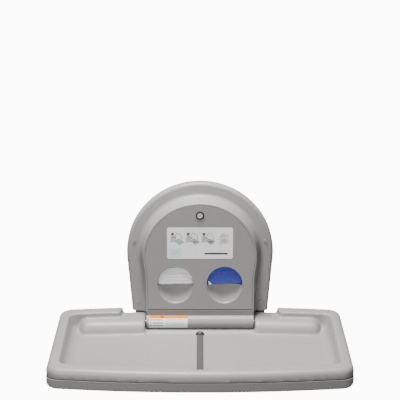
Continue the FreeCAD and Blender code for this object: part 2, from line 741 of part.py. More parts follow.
def cove_wire(body_half, outer_half, steep, place_point):
    """The housing's section from its outer edge at the wall to the lip behind the door.

    steep is 0 where the flank leans out and 1 in the side scoops, where it stands straight up.
    """
    floor, bead, skin = v.cove_floor, v.bead_round, v.skin
    foot = body_half + v.cove_width + (v.cove_round + v.flank_set - v.cove_width) * steep
    lean = math.radians(v.flank_lean + (89.0 - v.flank_lean) * steep)
    half_lean = lean / 2
    r_out, r_in = v.cove_round, v.cove_round + skin
    centre = floor + r_out
    strip = body_half - v.strip_width

    def p(r, out):
        return place_point(r, out)

    def on_cove(radius, angle):
        return p(foot - radius * math.sin(angle), centre - radius * math.cos(angle))

    def on_bead(radius, angle):
        return p(outer_half - bead + radius * math.cos(angle), v.bead_floor - bead + radius * math.sin(angle))

    quarter = math.pi / 2
    outside = [
        Part.LineSegment(p(outer_half, 0), on_bead(bead, 0)).toShape(),
        Part.Arc(on_bead(bead, 0), on_bead(bead, quarter / 2), on_bead(bead, quarter)).toShape(),
        Part.LineSegment(on_bead(bead, quarter), on_cove(r_out, 0)).toShape(),
        Part.Arc(on_cove(r_out, 0), on_cove(r_out, half_lean), on_cove(r_out, lean)).toShape(),
    ]
    corners = [on_cove(r_out, lean), p(body_half + 1.7, v.body_out - 2), p(body_half, v.body_out),
               p(strip, v.body_out), p(strip, v.lip_out), p(strip - v.lip_width, v.lip_out),
               p(strip - v.lip_width, v.lip_out - skin), p(body_half - 1.5, v.lip_out - skin),
               on_cove(r_in, lean)]
    lip = [Part.LineSegment(a, b).toShape() for a, b in zip(corners, corners[1:])]
    thin = bead - skin
    inside = [
        Part.Arc(on_cove(r_in, lean), on_cove(r_in, half_lean), on_cove(r_in, 0)).toShape(),
        Part.LineSegment(on_cove(r_in, 0), on_bead(thin, quarter)).toShape(),
        Part.Arc(on_bead(thin, quarter), on_bead(thin, quarter / 2), on_bead(thin, 0)).toShape(),
        Part.LineSegment(on_bead(thin, 0), p(outer_half - skin, 0)).toShape(),
        Part.LineSegment(p(outer_half - skin, 0), p(outer_half, 0)).toShape(),
    ]
    return Part.Wire(outside + lip + inside)


def outer_half_at(z):
    """Half width of the housing's outer edge below the arch's centre."""
    drop = v.arch_centre - v.shell_bottom
    reach = math.hypot(v.bottom_half, drop)
    taper = math.atan2(drop, v.bottom_half) - math.acos(v.arch_radius / reach)
    touch = v.arch_centre - v.arch_radius * math.sin(taper)
    if z >= touch:
        return math.sqrt(v.arch_radius ** 2 - (v.arch_centre - z) ** 2)
    return v.bottom_half + (z - v.shell_bottom) * math.tan(taper)


def body_half_at(z, radius, straight):
    """Half width of the front body: an S-bend from the arch's radius in to the straight sides."""
    depth = min(max((v.arch_centre - z) / v.waist_length, 0.0), 1.0)
    share = depth * depth * (3 - 2 * depth)
    return radius + (straight - radius) * share


WAIST_STEPS = 6


def side_levels():
    steps = WAIST_STEPS
    waist = [v.arch_centre - v.waist_length * n / steps for n in range(steps + 1)]
    scoops = [v.scoop_top + (v.scoop_full - v.scoop_top) * n / steps for n in range(steps + 1)]
    return waist + scoops + [v.shell_bottom]


def steep_at(z):
    depth = min(max((v.scoop_top - z) / (v.scoop_top - v.scoop_full), 0.0), 1.0)
    return depth * depth * (3 - 2 * depth)


def make_housing_shell():
    arch = cove_wire(v.body_radius, v.arch_radius, 0.0, lambda r, out: at(r, out, v.arch_centre))
    top = Part.Face(arch).revolve(at(0, 0, v.arch_centre), V(0, -1, 0), 180)
    if top.BoundBox.ZMax < v.arch_centre + 1:
        top = Part.Face(arch).revolve(at(0, 0, v.arch_centre), V(0, 1, 0), 180)
    sides = []
    for _, side in SIDES:
        wires = []
        for z in side_levels():
            half = body_half_at(z, v.body_radius, v.cover_half)
            wires.append(cove_wire(half, outer_half_at(z), steep_at(z), lambda r, out: at(side * r, out, z)))
        sides.append(Part.makeLoft(wires, True, True))
    shell = top.fuse(sides)
    inner = v.cover_half - v.strip_width
    shelf = block(-inner, inner, v.plate_thick + v.gap, v.body_out, v.shelf_top - v.shelf_thick, v.shelf_top)
    caps = []
    for _, side in SIDES:
        flank = [at(side * v.cover_half, v.plate_thick + v.gap, v.shell_bottom)]
        flank += [at(side * v.cover_half, v.cove_floor, v.shell_bottom),
                  at(side * (v.bottom_half - v.bead_round), v.bead_floor, v.shell_bottom),
                  at(side * (v.bottom_half - 1), v.bead_floor - v.bead_round, v.shell_bottom),
                  at(side * (v.bottom_half - 1), v.plate_thick + v.gap, v.shell_bottom)]
        caps.append(prism(flank, V(0, 0, v.skin)))
    shell = shell.fuse(caps)
    roof = v.shelf_top - v.shelf_thick
    below = block(-v.cover_half, v.cover_half, 0, v.body_out + 1, v.shell_bottom - 1, roof)
    shell = shell.cut(below).fuse(shelf)
    shell = shell.cut(block(-inner, inner, 0, v.lip_out, v.shelf_top, v.door_pin_z + v.lip_relief))
    shell = shell.cut(rod_opening(roof - 1, v.shelf_top + 1))
    for _, side in SIDES:
        x = side * (v.cover_half - v.strip_width - 3)
        shell = shell.cut(Part.makeCylinder(v.door_pin_radius + v.running_clear, v.strip_width + 3,
                                            at(x, v.door_pin_out, v.door_pin_z), V(side, 0, 0)))
    for x, z in housing_screw_places():
        shell = shell.cut(Part.makeCylinder(SCREW_RADIUS + SCREW_CLEAR, v.body_out, at(x, 0, z), V(0, -1, 0)))
    return feature("housing_shell", shell.removeSplitter())


def rod_opening(z0, z1):
    """Room for the gas spring's rod through the shelf and the hinge cover's roof."""
    out = v.hinge_out - v.crank_radius * (1 + SLANT) / 2
    return Part.makeCylinder(v.spring_rod + 1.5, z1 - z0, at(0, out, z0))


def housing_screw_places():
    """Two screws through the cove floor on each side, into the wall plate."""
    high = v.arch_centre + 42
    low = v.shell_bottom + 30
    middle = (v.body_radius + v.cove_width + v.arch_radius - v.bead_round) / 2
    high_x = math.sqrt(middle ** 2 - (high - v.arch_centre) ** 2)
    low_x = (v.cover_half + v.cove_round + v.flank_set + outer_half_at(low) - v.bead_round) / 2
    return [(side * x, z) for _, side in SIDES for x, z in ((high_x, high), (low_x, low))]


def make_housing_screws():
    screws = []
    for number, (x, z) in enumerate(housing_screw_places()):
        shank = rod(f"housing_shank_{number}", "y", x, d.plate_thick, z, SCREW_RADIUS,
                    d.cove_floor + 0.6 - d.plate_thick)
        head = rod(f"housing_head_{number}", "y", x, d.cove_floor + 0.1, z, HEAD_RADIUS, HEAD_THICK)
        screws.append(fuse(f"housing_screw_{number}", shank, head))
    return group("housing_screws", screws)


def door_outline(inset):
    """Half-round top, S-bent sides, straight bottom."""
    radius = v.body_radius - v.strip_width - inset
    straight = v.cover_half - v.strip_width - inset
    out = v.door_out
    top = Part.Arc(at(-radius, out, v.arch_centre), at(0, out, v.arch_centre + radius),
                   at(radius, out, v.arch_centre)).toShape()
    levels = [v.arch_centre - v.waist_length * n / WAIST_STEPS for n in range(WAIST_STEPS + 1)]
    edges = [top]
    low = v.door_bottom + max(inset - v.door_gap, 0)
    for _, side in SIDES:
        curve = Part.BSplineCurve()
        curve.interpolate([at(side * body_half_at(z, radius, straight), out, z) for z in levels])
        foot = at(side * straight, out, levels[-1])
        edges.append(curve.toShape())
        edges.append(Part.LineSegment(foot, at(side * straight, out, low)).toShape())
    edges.append(Part.LineSegment(at(-straight, out, low), at(straight, out, low)).toShape())
    return Part.Wire(Part.__sortEdges__(edges))


def scoop(side, grow, front):
    """Part of an ellipsoid below a window, up to the given distance from the wall."""
    width, height, depth = v.window_radius - v.gap + grow, v.scoop_height + grow, v.scoop_depth + grow
    ball = Part.makeSphere(1.0)
    matrix = FreeCAD.Matrix()
    matrix.scale(V(width, depth, height))
    ball = ball.transformGeometry(matrix)
    ball.translate(at(side * v.window_x, v.door_out, v.window_z))
    x = side * v.window_x
    top = v.window_z + (0 if grow else v.gap)
    keep = block(x - 2 * width, x + 2 * width, v.door_out - 2 * depth, front, v.window_z - 2 * height, top)
    return ball.common(keep)


LOCK_BOSS = 8.0                  # how far the lock's boss stands behind the door's wall
PIN_IN_DOOR = 12.0
PIN_IN_LIP = 3.5


def make_door():
    """Front moulding with a short rim behind it, two windows and a hollow under each."""
    front = Part.Face(door_outline(v.door_gap))
    rim_depth = v.door_out - v.lip_out - v.gap
    inside = Part.Face(door_outline(v.door_gap + v.door_wall)).extrude(V(0, rim_depth, 0))
    solid = front.extrude(V(0, rim_depth, 0)).cut(inside.translated(V(0, v.door_wall, 0)))
    for _, side in SIDES:
        x = side * v.window_x
        solid = solid.fuse(scoop(side, v.scoop_wall, v.door_out - v.door_wall / 2))
        solid = solid.cut(scoop(side, 0, v.door_out + v.scoop_depth / 2))
        window = Part.makeCylinder(v.window_radius, 2 * v.scoop_depth,
                                   at(x, v.door_out - v.scoop_depth, v.window_z + v.window_rise), V(0, -1, 0))
        reach = 2 * v.window_radius
        solid = solid.cut(window.common(block(x - reach, x + reach, 0, 2 * v.door_out,
                                              v.window_z, v.window_z + reach)))
    bore = Part.makeCylinder(v.plug_radius + v.running_clear, 2 * v.door_out, at(0, 0, v.lock_z), V(0, -1, 0))
    boss = Part.makeCylinder(v.bezel_radius, LOCK_BOSS, at(0, v.door_out - v.door_wall - LOCK_BOSS, v.lock_z),
                             V(0, -1, 0))
    solid = solid.fuse(boss).cut(bore)
    straight = v.cover_half - v.strip_width - v.door_gap
    for _, side in SIDES:
        x = side * (straight - PIN_IN_DOOR)
        solid = solid.cut(Part.makeCylinder(v.door_pin_radius, PIN_IN_DOOR + 1,
                                            at(x, v.door_pin_out, v.door_pin_z), V(side, 0, 0)))
    return feature("dispenser_door", solid)


def make_door_pins():
    straight = d.cover_half - d.strip_width - d.door_gap
    pins = []
    for side_name, side in SIDES:
        x = straight - PIN_IN_DOOR if side > 0 else -(straight + d.door_gap + PIN_IN_LIP)
        pins.append(rod(f"door_pin_{side_name}", "x", x, d.door_pin_out, d.door_pin_z, d.door_pin_radius,
                        d.door_gap + PIN_IN_DOOR + PIN_IN_LIP))
    return group("door_pins", pins)


def make_lock():
    bezel = rod("bezel_ring", "y", 0, d.door_out, d.lock_z, d.bezel_radius, 2.0)
    bezel_bore = rod("bezel_bore", "y", 0, d.door_out - 1.0, d.lock_z, d.plug_radius + d.running_clear, 4.0)
    part("lock_bezel", cut("lock_bezel", bezel, bezel_bore))
    plug = rod("plug_barrel", "y", 0, d.door_out - 14.0, d.lock_z, d.plug_radius, 16.6)
    keyhole = box("keyhole", -1.2, d.door_out - 4.0, d.lock_z - 4.0, 2.4, 8.0, 8.0)
    part("lock_plug", cut("lock_plug", plug, keyhole))
    cam = box("cam_bar", 0, d.door_out - 16.5, d.lock_z - 6.0, d.cam_length, 2.5, 12.0)
    cam_eye = rod("cam_eye", "y", 0, d.door_out - 16.5, d.lock_z, 8.0, 2.5)
    part("lock_cam", fuse("lock_cam", cam, cam_eye))


def make_instruction_label():
    obj = box("label_plate", -(d.label_width / 2), d.door_out, d.label_z - d.label_height / 2, d.label_width,
              d.label_thick, d.label_height)
    rounded = doc.addObject("Part::Fillet", "label_round")
    rounded.Base = obj
    doc.recompute()
    corners = [n + 1 for n, e in enumerate(obj.Shape.Edges)
               if abs(e.Vertexes[0].Y - e.Vertexes[-1].Y) > v.label_thick / 2]
    rounded.Edges = [(n, 6.0, 6.0) for n in corners]
    return part("instruction_label", rounded)


# ---------------------------------------------------------------- liners

def make_bay(side_name, side):
    """Open-topped, open-fronted tray that holds one stack of liners, on two ribs."""
    x = d.window_x - d.bay_width / 2 if side > 0 else -(d.window_x + d.bay_width / 2)
    depth = d.bay_front - d.bay_back
    outer = box(f"bay_outer_{side_name}", x, d.bay_back, d.bay_floor, d.bay_width, depth, d.bay_height)
    inner = box(f"bay_inner_{side_name}", x + d.bay_wall, d.bay_back + d.bay_wall, d.bay_floor + d.bay_wall,
                d.bay_width - d.bay_wall * 2, depth, d.bay_height)
    ribs = [box(f"bay_rib_{side_name}_{n}", x + d.bay_width * share, d.plate_thick, d.bay_floor,
                d.bay_wall * 2, d.bay_back - d.plate_thick, d.bay_height)
            for n, share in enumerate((0.2, 0.75))]
    tray = cut(f"bay_{side_name}", outer, inner)
    return part(f"liner_bay_{side_name}", fuse(f"bay_{side_name}", tray, *ribs))


def make_liners():
    for (side_name, side), name in zip(SIDES, ("liner_stack", "liner_pack")):
        width = d.bay_width - d.bay_wall * 2 - d.liner_clear * 2
        x = d.window_x - width / 2 if side > 0 else -(d.window_x + width / 2)
        depth = d.bay_front - d.bay_back - d.bay_wall - d.liner_clear * 2
        back = d.bay_back + d.bay_wall + d.liner_clear
        part(name, box(name, x, back, d.bay_floor + d.bay_wall + 0.1, width, depth, d.liner_height))


# ---------------------------------------------------------------- wall side

def make_wall_plate():
    body = new_body("wall_plate")
    sketch = new_sketch(body, "XZ_Plane", "plate_outline")
    outline(sketch, [(-d.plate_half, d.plate_bottom), (-d.tail_half, d.plate_bottom),
                     (-d.tail_half, d.tail_bottom), (d.tail_half, d.tail_bottom),
                     (d.tail_half, d.plate_bottom), (d.plate_half, d.plate_bottom),
                     (d.plate_half, d.plate_top), (-d.plate_half, d.plate_top)])
    pad(body, sketch, d.plate_thick)
    holes = new_sketch(body, "XZ_Plane", "bolt_holes")
    for x in (-(d.bolt_x / 2), d.bolt_x / 2):
        for z in (-(d.bolt_z / 2), d.bolt_z / 2):
            circle(holes, (x, z), d.bolt_hole)
    pocket(body, holes)
    return part("wall_plate", body)


def make_bumpers():
    """Rubber stops on the wall plate that the bed's rear wall comes down on."""
    length = d.rear_clear - d.plate_thick - d.gap
    z = hinge_z - 25.0
    return group("stop_bumpers", [
        rod(f"bumper_{side_name}", "y", d.bumper_x * side, d.plate_thick, z, d.bumper_radius, length)
        for side_name, side in SIDES])


YOKE_SIDE = 3.0                  # metal beside and under the yoke's slot
YOKE_TOP = 4.0
YOKE_THICK = 4.0
CLAMP_HEIGHT = 10.0
CRANK_WEB_HALF = 6.0

spring_out = d.hinge_out - d.crank_radius * ((1 + SLANT) / 2)
pin_out = d.hinge_out - d.crank_radius * SLANT
pin_z = hinge_z + d.crank_radius * SLANT
crank_x = -(d.crank_thick + YOKE_THICK)


def make_gas_spring():
    """Strut beside the hinge: a fixed cylinder and a rod whose slotted yoke rides on the crank's pin."""
    tube = rod("spring_tube", "z", 0, spring_out, d.spring_bottom, d.spring_radius, d.spring_length)
    bore = rod("spring_bore", "z", 0, spring_out, d.spring_bottom - 1.0, d.spring_rod + d.running_clear,
               d.spring_length - 8.0)
    part("gas_spring_cylinder", cut("gas_spring", tube, bore))
    rod_top = d.spring_bottom + d.spring_length * 0.55
    slot_half = d.crank_radius * ((1 - SLANT) / 2) + d.crank_pin + 0.6
    slot_rise = d.crank_pin + 1.2
    yoke_top = pin_z + slot_rise + YOKE_TOP
    stem = rod("spring_stem", "z", 0, spring_out, yoke_top - 1.0, d.spring_rod, rod_top - yoke_top + 1.0)
    yoke = box("spring_yoke", -YOKE_THICK / 2, spring_out - slot_half - YOKE_SIDE,
               pin_z - slot_rise - YOKE_SIDE, YOKE_THICK, slot_half * 2 + 2 * YOKE_SIDE,
               slot_rise * 2 + YOKE_SIDE + YOKE_TOP)
    slot = box("spring_slot", -YOKE_THICK, spring_out - slot_half, pin_z - slot_rise, 2 * YOKE_THICK,
               slot_half * 2, slot_rise * 2)
    part("gas_spring_rod", fuse("gas_spring_rod", stem, cut("spring_yoke", yoke, slot)))


def make_spring_clamps():
    """Two blocks that hold the gas spring on the wall plate."""
    half = d.spring_radius + 4.0
    clamps = []
    for number, share in enumerate((0.15, 0.8)):
        z = d.spring_bottom + d.spring_length * share
        base = box(f"clamp_block_{number}", -half, d.plate_thick, z, half * 2,
                   spring_out + d.spring_radius + 3.0 - d.plate_thick, CLAMP_HEIGHT)
        hole = rod(f"clamp_bore_{number}", "z", 0, spring_out, z - 1.0, d.spring_radius, CLAMP_HEIGHT + 2.0)
        clamps.append(cut(f"clamp_{number}", base, hole))
    group("gas_spring_clamps", clamps)


def make_crank():
    """Arm fixed on the hinge rod, pointing back and up at 45 degrees, with a pin for the yoke."""
    hub = rod("crank_hub", "x", crank_x, d.hinge_out, hinge_z, d.rod_radius + 5.0, d.crank_thick)
    tip = rod("crank_tip", "x", crank_x, pin_out, pin_z, d.crank_pin + 3.5, d.crank_thick)
    web = doc.addObject("Part::Box", "crank_web")
    bind(web, "Length", d.crank_thick)
    bind(web, "Width", d.crank_radius)
    bind(web, "Height", 2 * CRANK_WEB_HALF)
    web.Placement = FreeCAD.Placement(V(0, 0, 0), FreeCAD.Rotation(V(1, 0, 0), 45))
    place(web, crank_x, -d.hinge_out + CRANK_WEB_HALF * SLANT, hinge_z - CRANK_WEB_HALF * SLANT)
    bore = rod("crank_bore", "x", crank_x - 1.0, d.hinge_out, hinge_z, d.rod_radius, d.crank_thick + 2.0)
    hole = rod("crank_hole", "x", crank_x - 1.0, pin_out, pin_z, d.crank_pin, d.crank_thick + 2.0)
    part("crank_arm", cut("crank_arm", fuse("crank", hub, tip, web), bore, hole))
    part("crank_pin", rod("crank_pin_rod", "x", crank_x, pin_out, pin_z, d.crank_pin, d.crank_thick + 8.0))


# ---------------------------------------------------------------- build

bed_tray = make_bed_tray()
make_bed_base(bed_tray)
make_steel_panel()
for side_name, side in SIDES:
    make_arm(side_name, side)
    make_bracket(side_name, side)
    make_bush(side_name, side)
    make_bay(side_name, side)
make_arm_screws()
make_strap()
make_strap_guide()
make_strap_anchor()
make_hinge_rod()
make_rod_clips()
make_hinge_cover()
make_caution_label()
make_housing_shell()
make_housing_screws()
make_door()
make_door_pins()
make_lock()
make_instruction_label()
make_liners()
make_wall_plate()
make_bumpers()
make_gas_spring()
make_spring_clamps()
make_crank()

doc.recompute()
for obj in doc.Objects:
    if "Invalid" in obj.State or "Error" in obj.State:
        raise RuntimeError(f"{obj.Name} failed: {obj.State}")
os.makedirs("parts", exist_ok=True)
for name, obj in parts.items():
    shape = obj.Shape
    if shape.isNull() or not shape.isValid():
        raise RuntimeError(f"{name} has no valid shape")
    shape.exportStep(f"parts/{name}.step")
    print(f"{name}: {len(shape.Solids)} solid(s), {shape.Volume / 1000:.1f} cm3")
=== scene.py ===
import json
import math

import bmesh
import bpy
from bpy.props import FloatProperty, FloatVectorProperty, PointerProperty
from mathutils import Matrix, Vector

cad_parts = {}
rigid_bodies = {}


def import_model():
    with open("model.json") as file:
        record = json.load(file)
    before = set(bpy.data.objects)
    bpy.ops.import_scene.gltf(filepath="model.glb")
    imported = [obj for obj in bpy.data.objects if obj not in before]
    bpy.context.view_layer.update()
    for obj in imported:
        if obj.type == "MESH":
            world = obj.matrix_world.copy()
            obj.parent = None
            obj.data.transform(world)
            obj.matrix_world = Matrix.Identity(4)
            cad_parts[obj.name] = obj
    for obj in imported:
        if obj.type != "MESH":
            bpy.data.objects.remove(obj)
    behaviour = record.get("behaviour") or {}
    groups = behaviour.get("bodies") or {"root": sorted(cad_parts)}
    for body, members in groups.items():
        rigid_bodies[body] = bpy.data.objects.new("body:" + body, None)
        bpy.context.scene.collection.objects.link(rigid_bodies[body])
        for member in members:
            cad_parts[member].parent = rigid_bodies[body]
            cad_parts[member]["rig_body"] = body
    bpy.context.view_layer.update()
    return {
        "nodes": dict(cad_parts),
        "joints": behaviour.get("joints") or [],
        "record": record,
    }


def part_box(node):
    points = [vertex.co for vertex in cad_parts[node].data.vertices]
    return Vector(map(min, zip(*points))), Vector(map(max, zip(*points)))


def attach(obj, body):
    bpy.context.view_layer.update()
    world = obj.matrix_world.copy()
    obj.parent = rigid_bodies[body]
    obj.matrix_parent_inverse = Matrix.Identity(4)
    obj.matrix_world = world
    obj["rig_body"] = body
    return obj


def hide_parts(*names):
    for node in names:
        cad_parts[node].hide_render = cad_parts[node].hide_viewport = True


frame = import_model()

# Looks of a wall-mounted, fold-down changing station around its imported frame.
# Metres. X to the right, -Y out of the wall, +Z up. "out" is a distance from the wall, so out = -Y.

bl_info = {
    "name": "Changing station",
    "version": (1, 0, 0),
    "blender": (4, 5, 0),
    "location": "View3D > Sidebar > Changing station",
    "description": "Builds the moulded tray, the housing, the liners and the stage around the frame",
    "category": "Object",
}

MM = 0.001
TRAY_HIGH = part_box("bed_tray")[1]
BASE_LOW, BASE_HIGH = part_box("bed_base")
DOOR_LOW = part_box("dispenser_door")[0]
COVER_LOW, COVER_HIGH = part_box("hinge_cover")
LABEL_LOW, LABEL_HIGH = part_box("instruction_label")
CAUTION_LOW, CAUTION_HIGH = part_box("caution_label")
STRAP_LOW, STRAP_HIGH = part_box("strap")
GUIDE_LOW, GUIDE_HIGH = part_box("strap_guide")
HINGE = next(j for j in frame["joints"] if j["name"] == "bed_fold")["pos_m"]
WINDOW_EDGE = next(o for o in frame["record"]["physics"]["openings"]
                   if o["name"] == "liner_window_left")["box_m"][0][2] - 1 * MM


# ------------------------------------------------------------------ settings

def length(name, text, size):
    return FloatProperty(name=name, description=text, default=size, unit="LENGTH", precision=4)


def colour(name, text, rgb):
    return FloatVectorProperty(name=name, description=text, default=rgb, subtype="COLOR", size=3, min=0, max=1)


class BedSizes(bpy.types.PropertyGroup):
    side_bow: length("Side bow", "How far the bed's sides bulge", 7 * MM)
    end_bow: length("End bow", "How far the front and rear edges bulge", 29 * MM)
    corner: length("Corner", "Radius of the bed's corners in plan", 35 * MM)
    rim_round: length("Rim round", "Radius of the tray's outer rim edge", 15 * MM)
    rim_front: length("Front rim", "Width of the front rim", 52 * MM)
    rim_rear: length("Rear rim", "Width of the rear rim", 50 * MM)
    rim_side: length("Side rim", "Width of the side rims", 36 * MM)
    tub_depth: length("Tub depth", "Depth of the lying surface below the rim", 50 * MM)
    side_slope: length("Side slope", "How far the tub's side walls lean", 13 * MM)
    front_slope: length("Front slope", "How far the tub's front wall leans", 6 * MM)
    floor_round: length("Floor round", "Radius between the tub's side walls and floor", 34 * MM)
    front_round: length("Front round", "Radius between the tub's front wall and floor", 9 * MM)
    bulge_half: length("Bulge end", "Half distance between the bulges' outer ends", 382 * MM)
    bulge_drop: length("Bulge drop", "Top of the hinge bulges below the rim", 13 * MM)
    bulge_round: length("Bulge round", "Radius of the bulges' front", 38 * MM)
    bulge_foot: length("Bulge foot", "Foot of the bulges from the bed's rear edge", 99 * MM)
    rim_draft: length("Rim draft", "How far the front wall leans in from the parting line", 7 * MM)
    rear_lift: length("Rear lift", "How much the rear rim rises above the rest", 8 * MM)
    rear_gap: length("Rear gap", "Half width of the gap in the rear rim", 237 * MM)
    ledge_drop: length("Ledge drop", "Ledge in front of the hinge below the rim", 42 * MM)
    notch_width: length("Strap notch", "Width of the strap's notch in the front rim", 44 * MM)
    notch_reach: length("Notch reach", "How far the strap's notch goes into the rim", 22 * MM)
    notch_drop: length("Notch drop", "Depth of the strap's notch", 12 * MM)
    moulding_grid: length("Moulding grid", "Cell of the grid that melts the tray into one moulding", 3.7 * MM)


class Colours(bpy.types.PropertyGroup):
    plastic: colour("Plastic", "Moulded body", (0.285, 0.279, 0.272))
    inner: colour("Inner plastic", "Liner bays", (0.28, 0.28, 0.275))
    black: colour("Black plastic", "Bushes, guide and clamps", (0.022, 0.022, 0.023))
    steel: colour("Steel", "Brushed panel", (0.86, 0.86, 0.85))
    webbing: colour("Webbing", "Child strap", (0.075, 0.074, 0.07))
    wrapper: colour("Wrapper", "Film around the liner pack", (0.045, 0.06, 0.40))
    caution: colour("Caution band", "Band on the small label", (0.80, 0.23, 0.0))


class StageSizes(bpy.types.PropertyGroup):
    camera_back: length("Camera distance", "How far the camera stands from the wall", 3.879)
    camera_height: length("Camera height", "Height of the camera above the origin", 1.403)
    camera_pitch: FloatProperty(name="Camera pitch", description="How far the camera looks down",
                                default=math.radians(17.11), subtype="ANGLE")
    camera_lens: FloatProperty(name="Lens", description="Focal length in millimetres", default=118.1)
    floor_drop: length("Floor drop", "Floor below the origin", 0.9)
    backdrop: FloatProperty(name="Backdrop", description="Brightness of the backdrop", default=12.0)
    fill: FloatProperty(name="Fill", description="Brightness of the fill light", default=0.1)


# ------------------------------------------------------------------ mesh helpers

def settings():
    return bpy.context.scene


def at(x, out, z):
    return Vector((x, -out, z))


def place_object(name, mesh, material, body, replaces=()):
    """A finished piece: its mesh, finish, body and the nodes that it stands for."""
    mesh.name = name
    obj = bpy.data.objects.new(name, mesh)
    bpy.context.scene.collection.objects.link(obj)
    mesh.materials.clear()
    mesh.materials.append(material)
    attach(obj, body)
    if replaces:
        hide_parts(*replaces)
    return obj


def to_mesh(bm, name="mesh", outward=True):
    if outward:
        bmesh.ops.recalc_face_normals(bm, faces=bm.faces)
    mesh = bpy.data.meshes.new(name)
    bm.to_mesh(mesh)
    bm.free()
    return mesh


def smooth(mesh, degrees=35.0):
    mesh.shade_smooth()
    mesh.set_sharp_from_angle(angle=math.radians(degrees))
    return mesh


def with_modifiers(mesh, *steps):
    """The mesh after a chain of modifiers, each given as (type, settings)."""
    obj = bpy.data.objects.new("work", mesh)
    bpy.context.scene.collection.objects.link(obj)
    for number, (kind, values) in enumerate(steps):
        modifier = obj.modifiers.new(f"step_{number}", kind)
        for key, value in values.items():
            setattr(modifier, key, value)
    graph = bpy.context.evaluated_depsgraph_get()
    result = bpy.data.meshes.new_from_object(obj.evaluated_get(graph))
    bpy.data.objects.remove(obj)
    return result


def minus(mesh, *cutters):
    """The mesh with each cutter's volume taken away."""
    tools = []
    for cutter in cutters:
        tool = bpy.data.objects.new("cutter", cutter)
        bpy.context.scene.collection.objects.link(tool)
        tools.append(tool)
    steps = [("BOOLEAN", {"operation": "DIFFERENCE", "solver": "EXACT", "object": tool}) for tool in tools]
    result = with_modifiers(mesh, *steps)
    for tool in tools:
        bpy.data.objects.remove(tool)
    return result


def joined(*meshes):
    """Several meshes as one, still overlapping."""
    bm = bmesh.new()
    for mesh in meshes:
        bm.from_mesh(mesh)
    return to_mesh(bm, outward=False)


def ring_of(bm, places):
    """A closed ring of vertices and edges."""
    ring = [bm.verts.new(place) for place in places]
    for a, b in zip(ring, ring[1:] + ring[:1]):
        bm.edges.new((a, b))
    return ring


def extrude_ring(bm, ring, places):
    """Extrude a ring one step and put its copy at the given places."""
    edges = [bm.edges.get((a, b)) for a, b in zip(ring, ring[1:] + ring[:1])]
    made = bmesh.ops.extrude_edge_only(bm, edges=edges)["geom"]
    fresh = {item for item in made if isinstance(item, bmesh.types.BMVert)}
    after = []
    for old, place in zip(ring, places):
        new = next(edge.other_vert(old) for edge in old.link_edges if edge.other_vert(old) in fresh)
        new.co = place
        after.append(new)
    return after


def loft(stations, closed_ends=True):
    """A surface through rings of equally many places, capped at both ends."""
    bm = bmesh.new()
    ring = first = ring_of(bm, stations[0])
    for places in stations[1:]:
        ring = extrude_ring(bm, ring, places)
    if closed_ends:
        bm.faces.new(first)
        bm.faces.new(ring)
    return to_mesh(bm)


def block(x0, x1, out0, out1, z0, z1, slices=0):
    """A box between two corners, cut across X into slices so that it can be bent."""
    bm = bmesh.new()
    centre = at((x0 + x1) / 2, (out0 + out1) / 2, (z0 + z1) / 2)
    size = Matrix.Diagonal((x1 - x0, out1 - out0, z1 - z0, 1))
    bmesh.ops.create_cube(bm, size=1, matrix=Matrix.Translation(centre) @ size)
    slice_along_x(bm, x0, x1, slices)
    return bm


def slice_along_x(bm, x0, x1, slices):
    for number in range(1, slices):
        x = x0 + (x1 - x0) * number / slices
        bmesh.ops.bisect_plane(bm, geom=bm.verts[:] + bm.edges[:] + bm.faces[:], dist=1e-6,
                               plane_co=(x, 0, 0), plane_no=(1, 0, 0))


def round_edges(bm, chosen, radius, segments=6):
    edges = [edge for edge in bm.edges if chosen(edge)]
    bmesh.ops.bevel(bm, geom=edges, offset=radius, offset_type="OFFSET", affect="EDGES", segments=segments,
                    profile=0.5, material=-1, clamp_overlap=True)


def upright(edge):
    a, b = (vert.co for vert in edge.verts)
    return abs(a.z - b.z) > 0.5 * (a - b).length


def level_at(z):
    return lambda edge: all(abs(vert.co.z - z) < 1e-5 for vert in edge.verts)


def arc(centre_a, centre_b, radius, start, end, steps):
    """Points of an arc in a section plane, by angle in degrees."""
    angles = [math.radians(start + (end - start) * n / steps) for n in range(steps + 1)]
    return [(centre_a + radius * math.cos(angle), centre_b + radius * math.sin(angle)) for angle in angles]


# ------------------------------------------------------------------ finishes

def new_group(name, inputs, outputs):
    """A shader node group with named sockets, given as (name, type, value)."""
    group = bpy.data.node_groups.new(name, "ShaderNodeTree")
    for label, kind, value in inputs:
        socket = group.interface.new_socket(label, in_out="INPUT", socket_type=kind)
        socket.default_value = value
    for label, kind in outputs:
        group.interface.new_socket(label, in_out="OUTPUT", socket_type=kind)
    start = group.nodes.new("NodeGroupInput")
    end = group.nodes.new("NodeGroupOutput")
    return group, start, end


def add(tree, kind, links=(), **values):
    """A node with settings, and links given as (input, source socket)."""
    node = tree.nodes.new(kind)
    for key, value in values.items():
        if hasattr(node, key):
            setattr(node, key, value)
        else:
            node.inputs[key.replace("_", " ")].default_value = value
    for target, source in links:
        tree.links.new(source, node.inputs[target])
    return node


def mixed(tree, factor, a, b, blend="MIX"):
    """A colour mix; a and b are sockets or plain colours."""
    node = tree.nodes.new("ShaderNodeMix")
    node.data_type = "RGBA"
    node.blend_type = blend
    for index, value in ((0, factor), (6, a), (7, b)):
        if isinstance(value, bpy.types.NodeSocket):
            tree.links.new(value, node.inputs[index])
        else:
            node.inputs[index].default_value = value
    return node.outputs[2]


FLOAT = "NodeSocketFloat"
COLOUR = "NodeSocketColor"


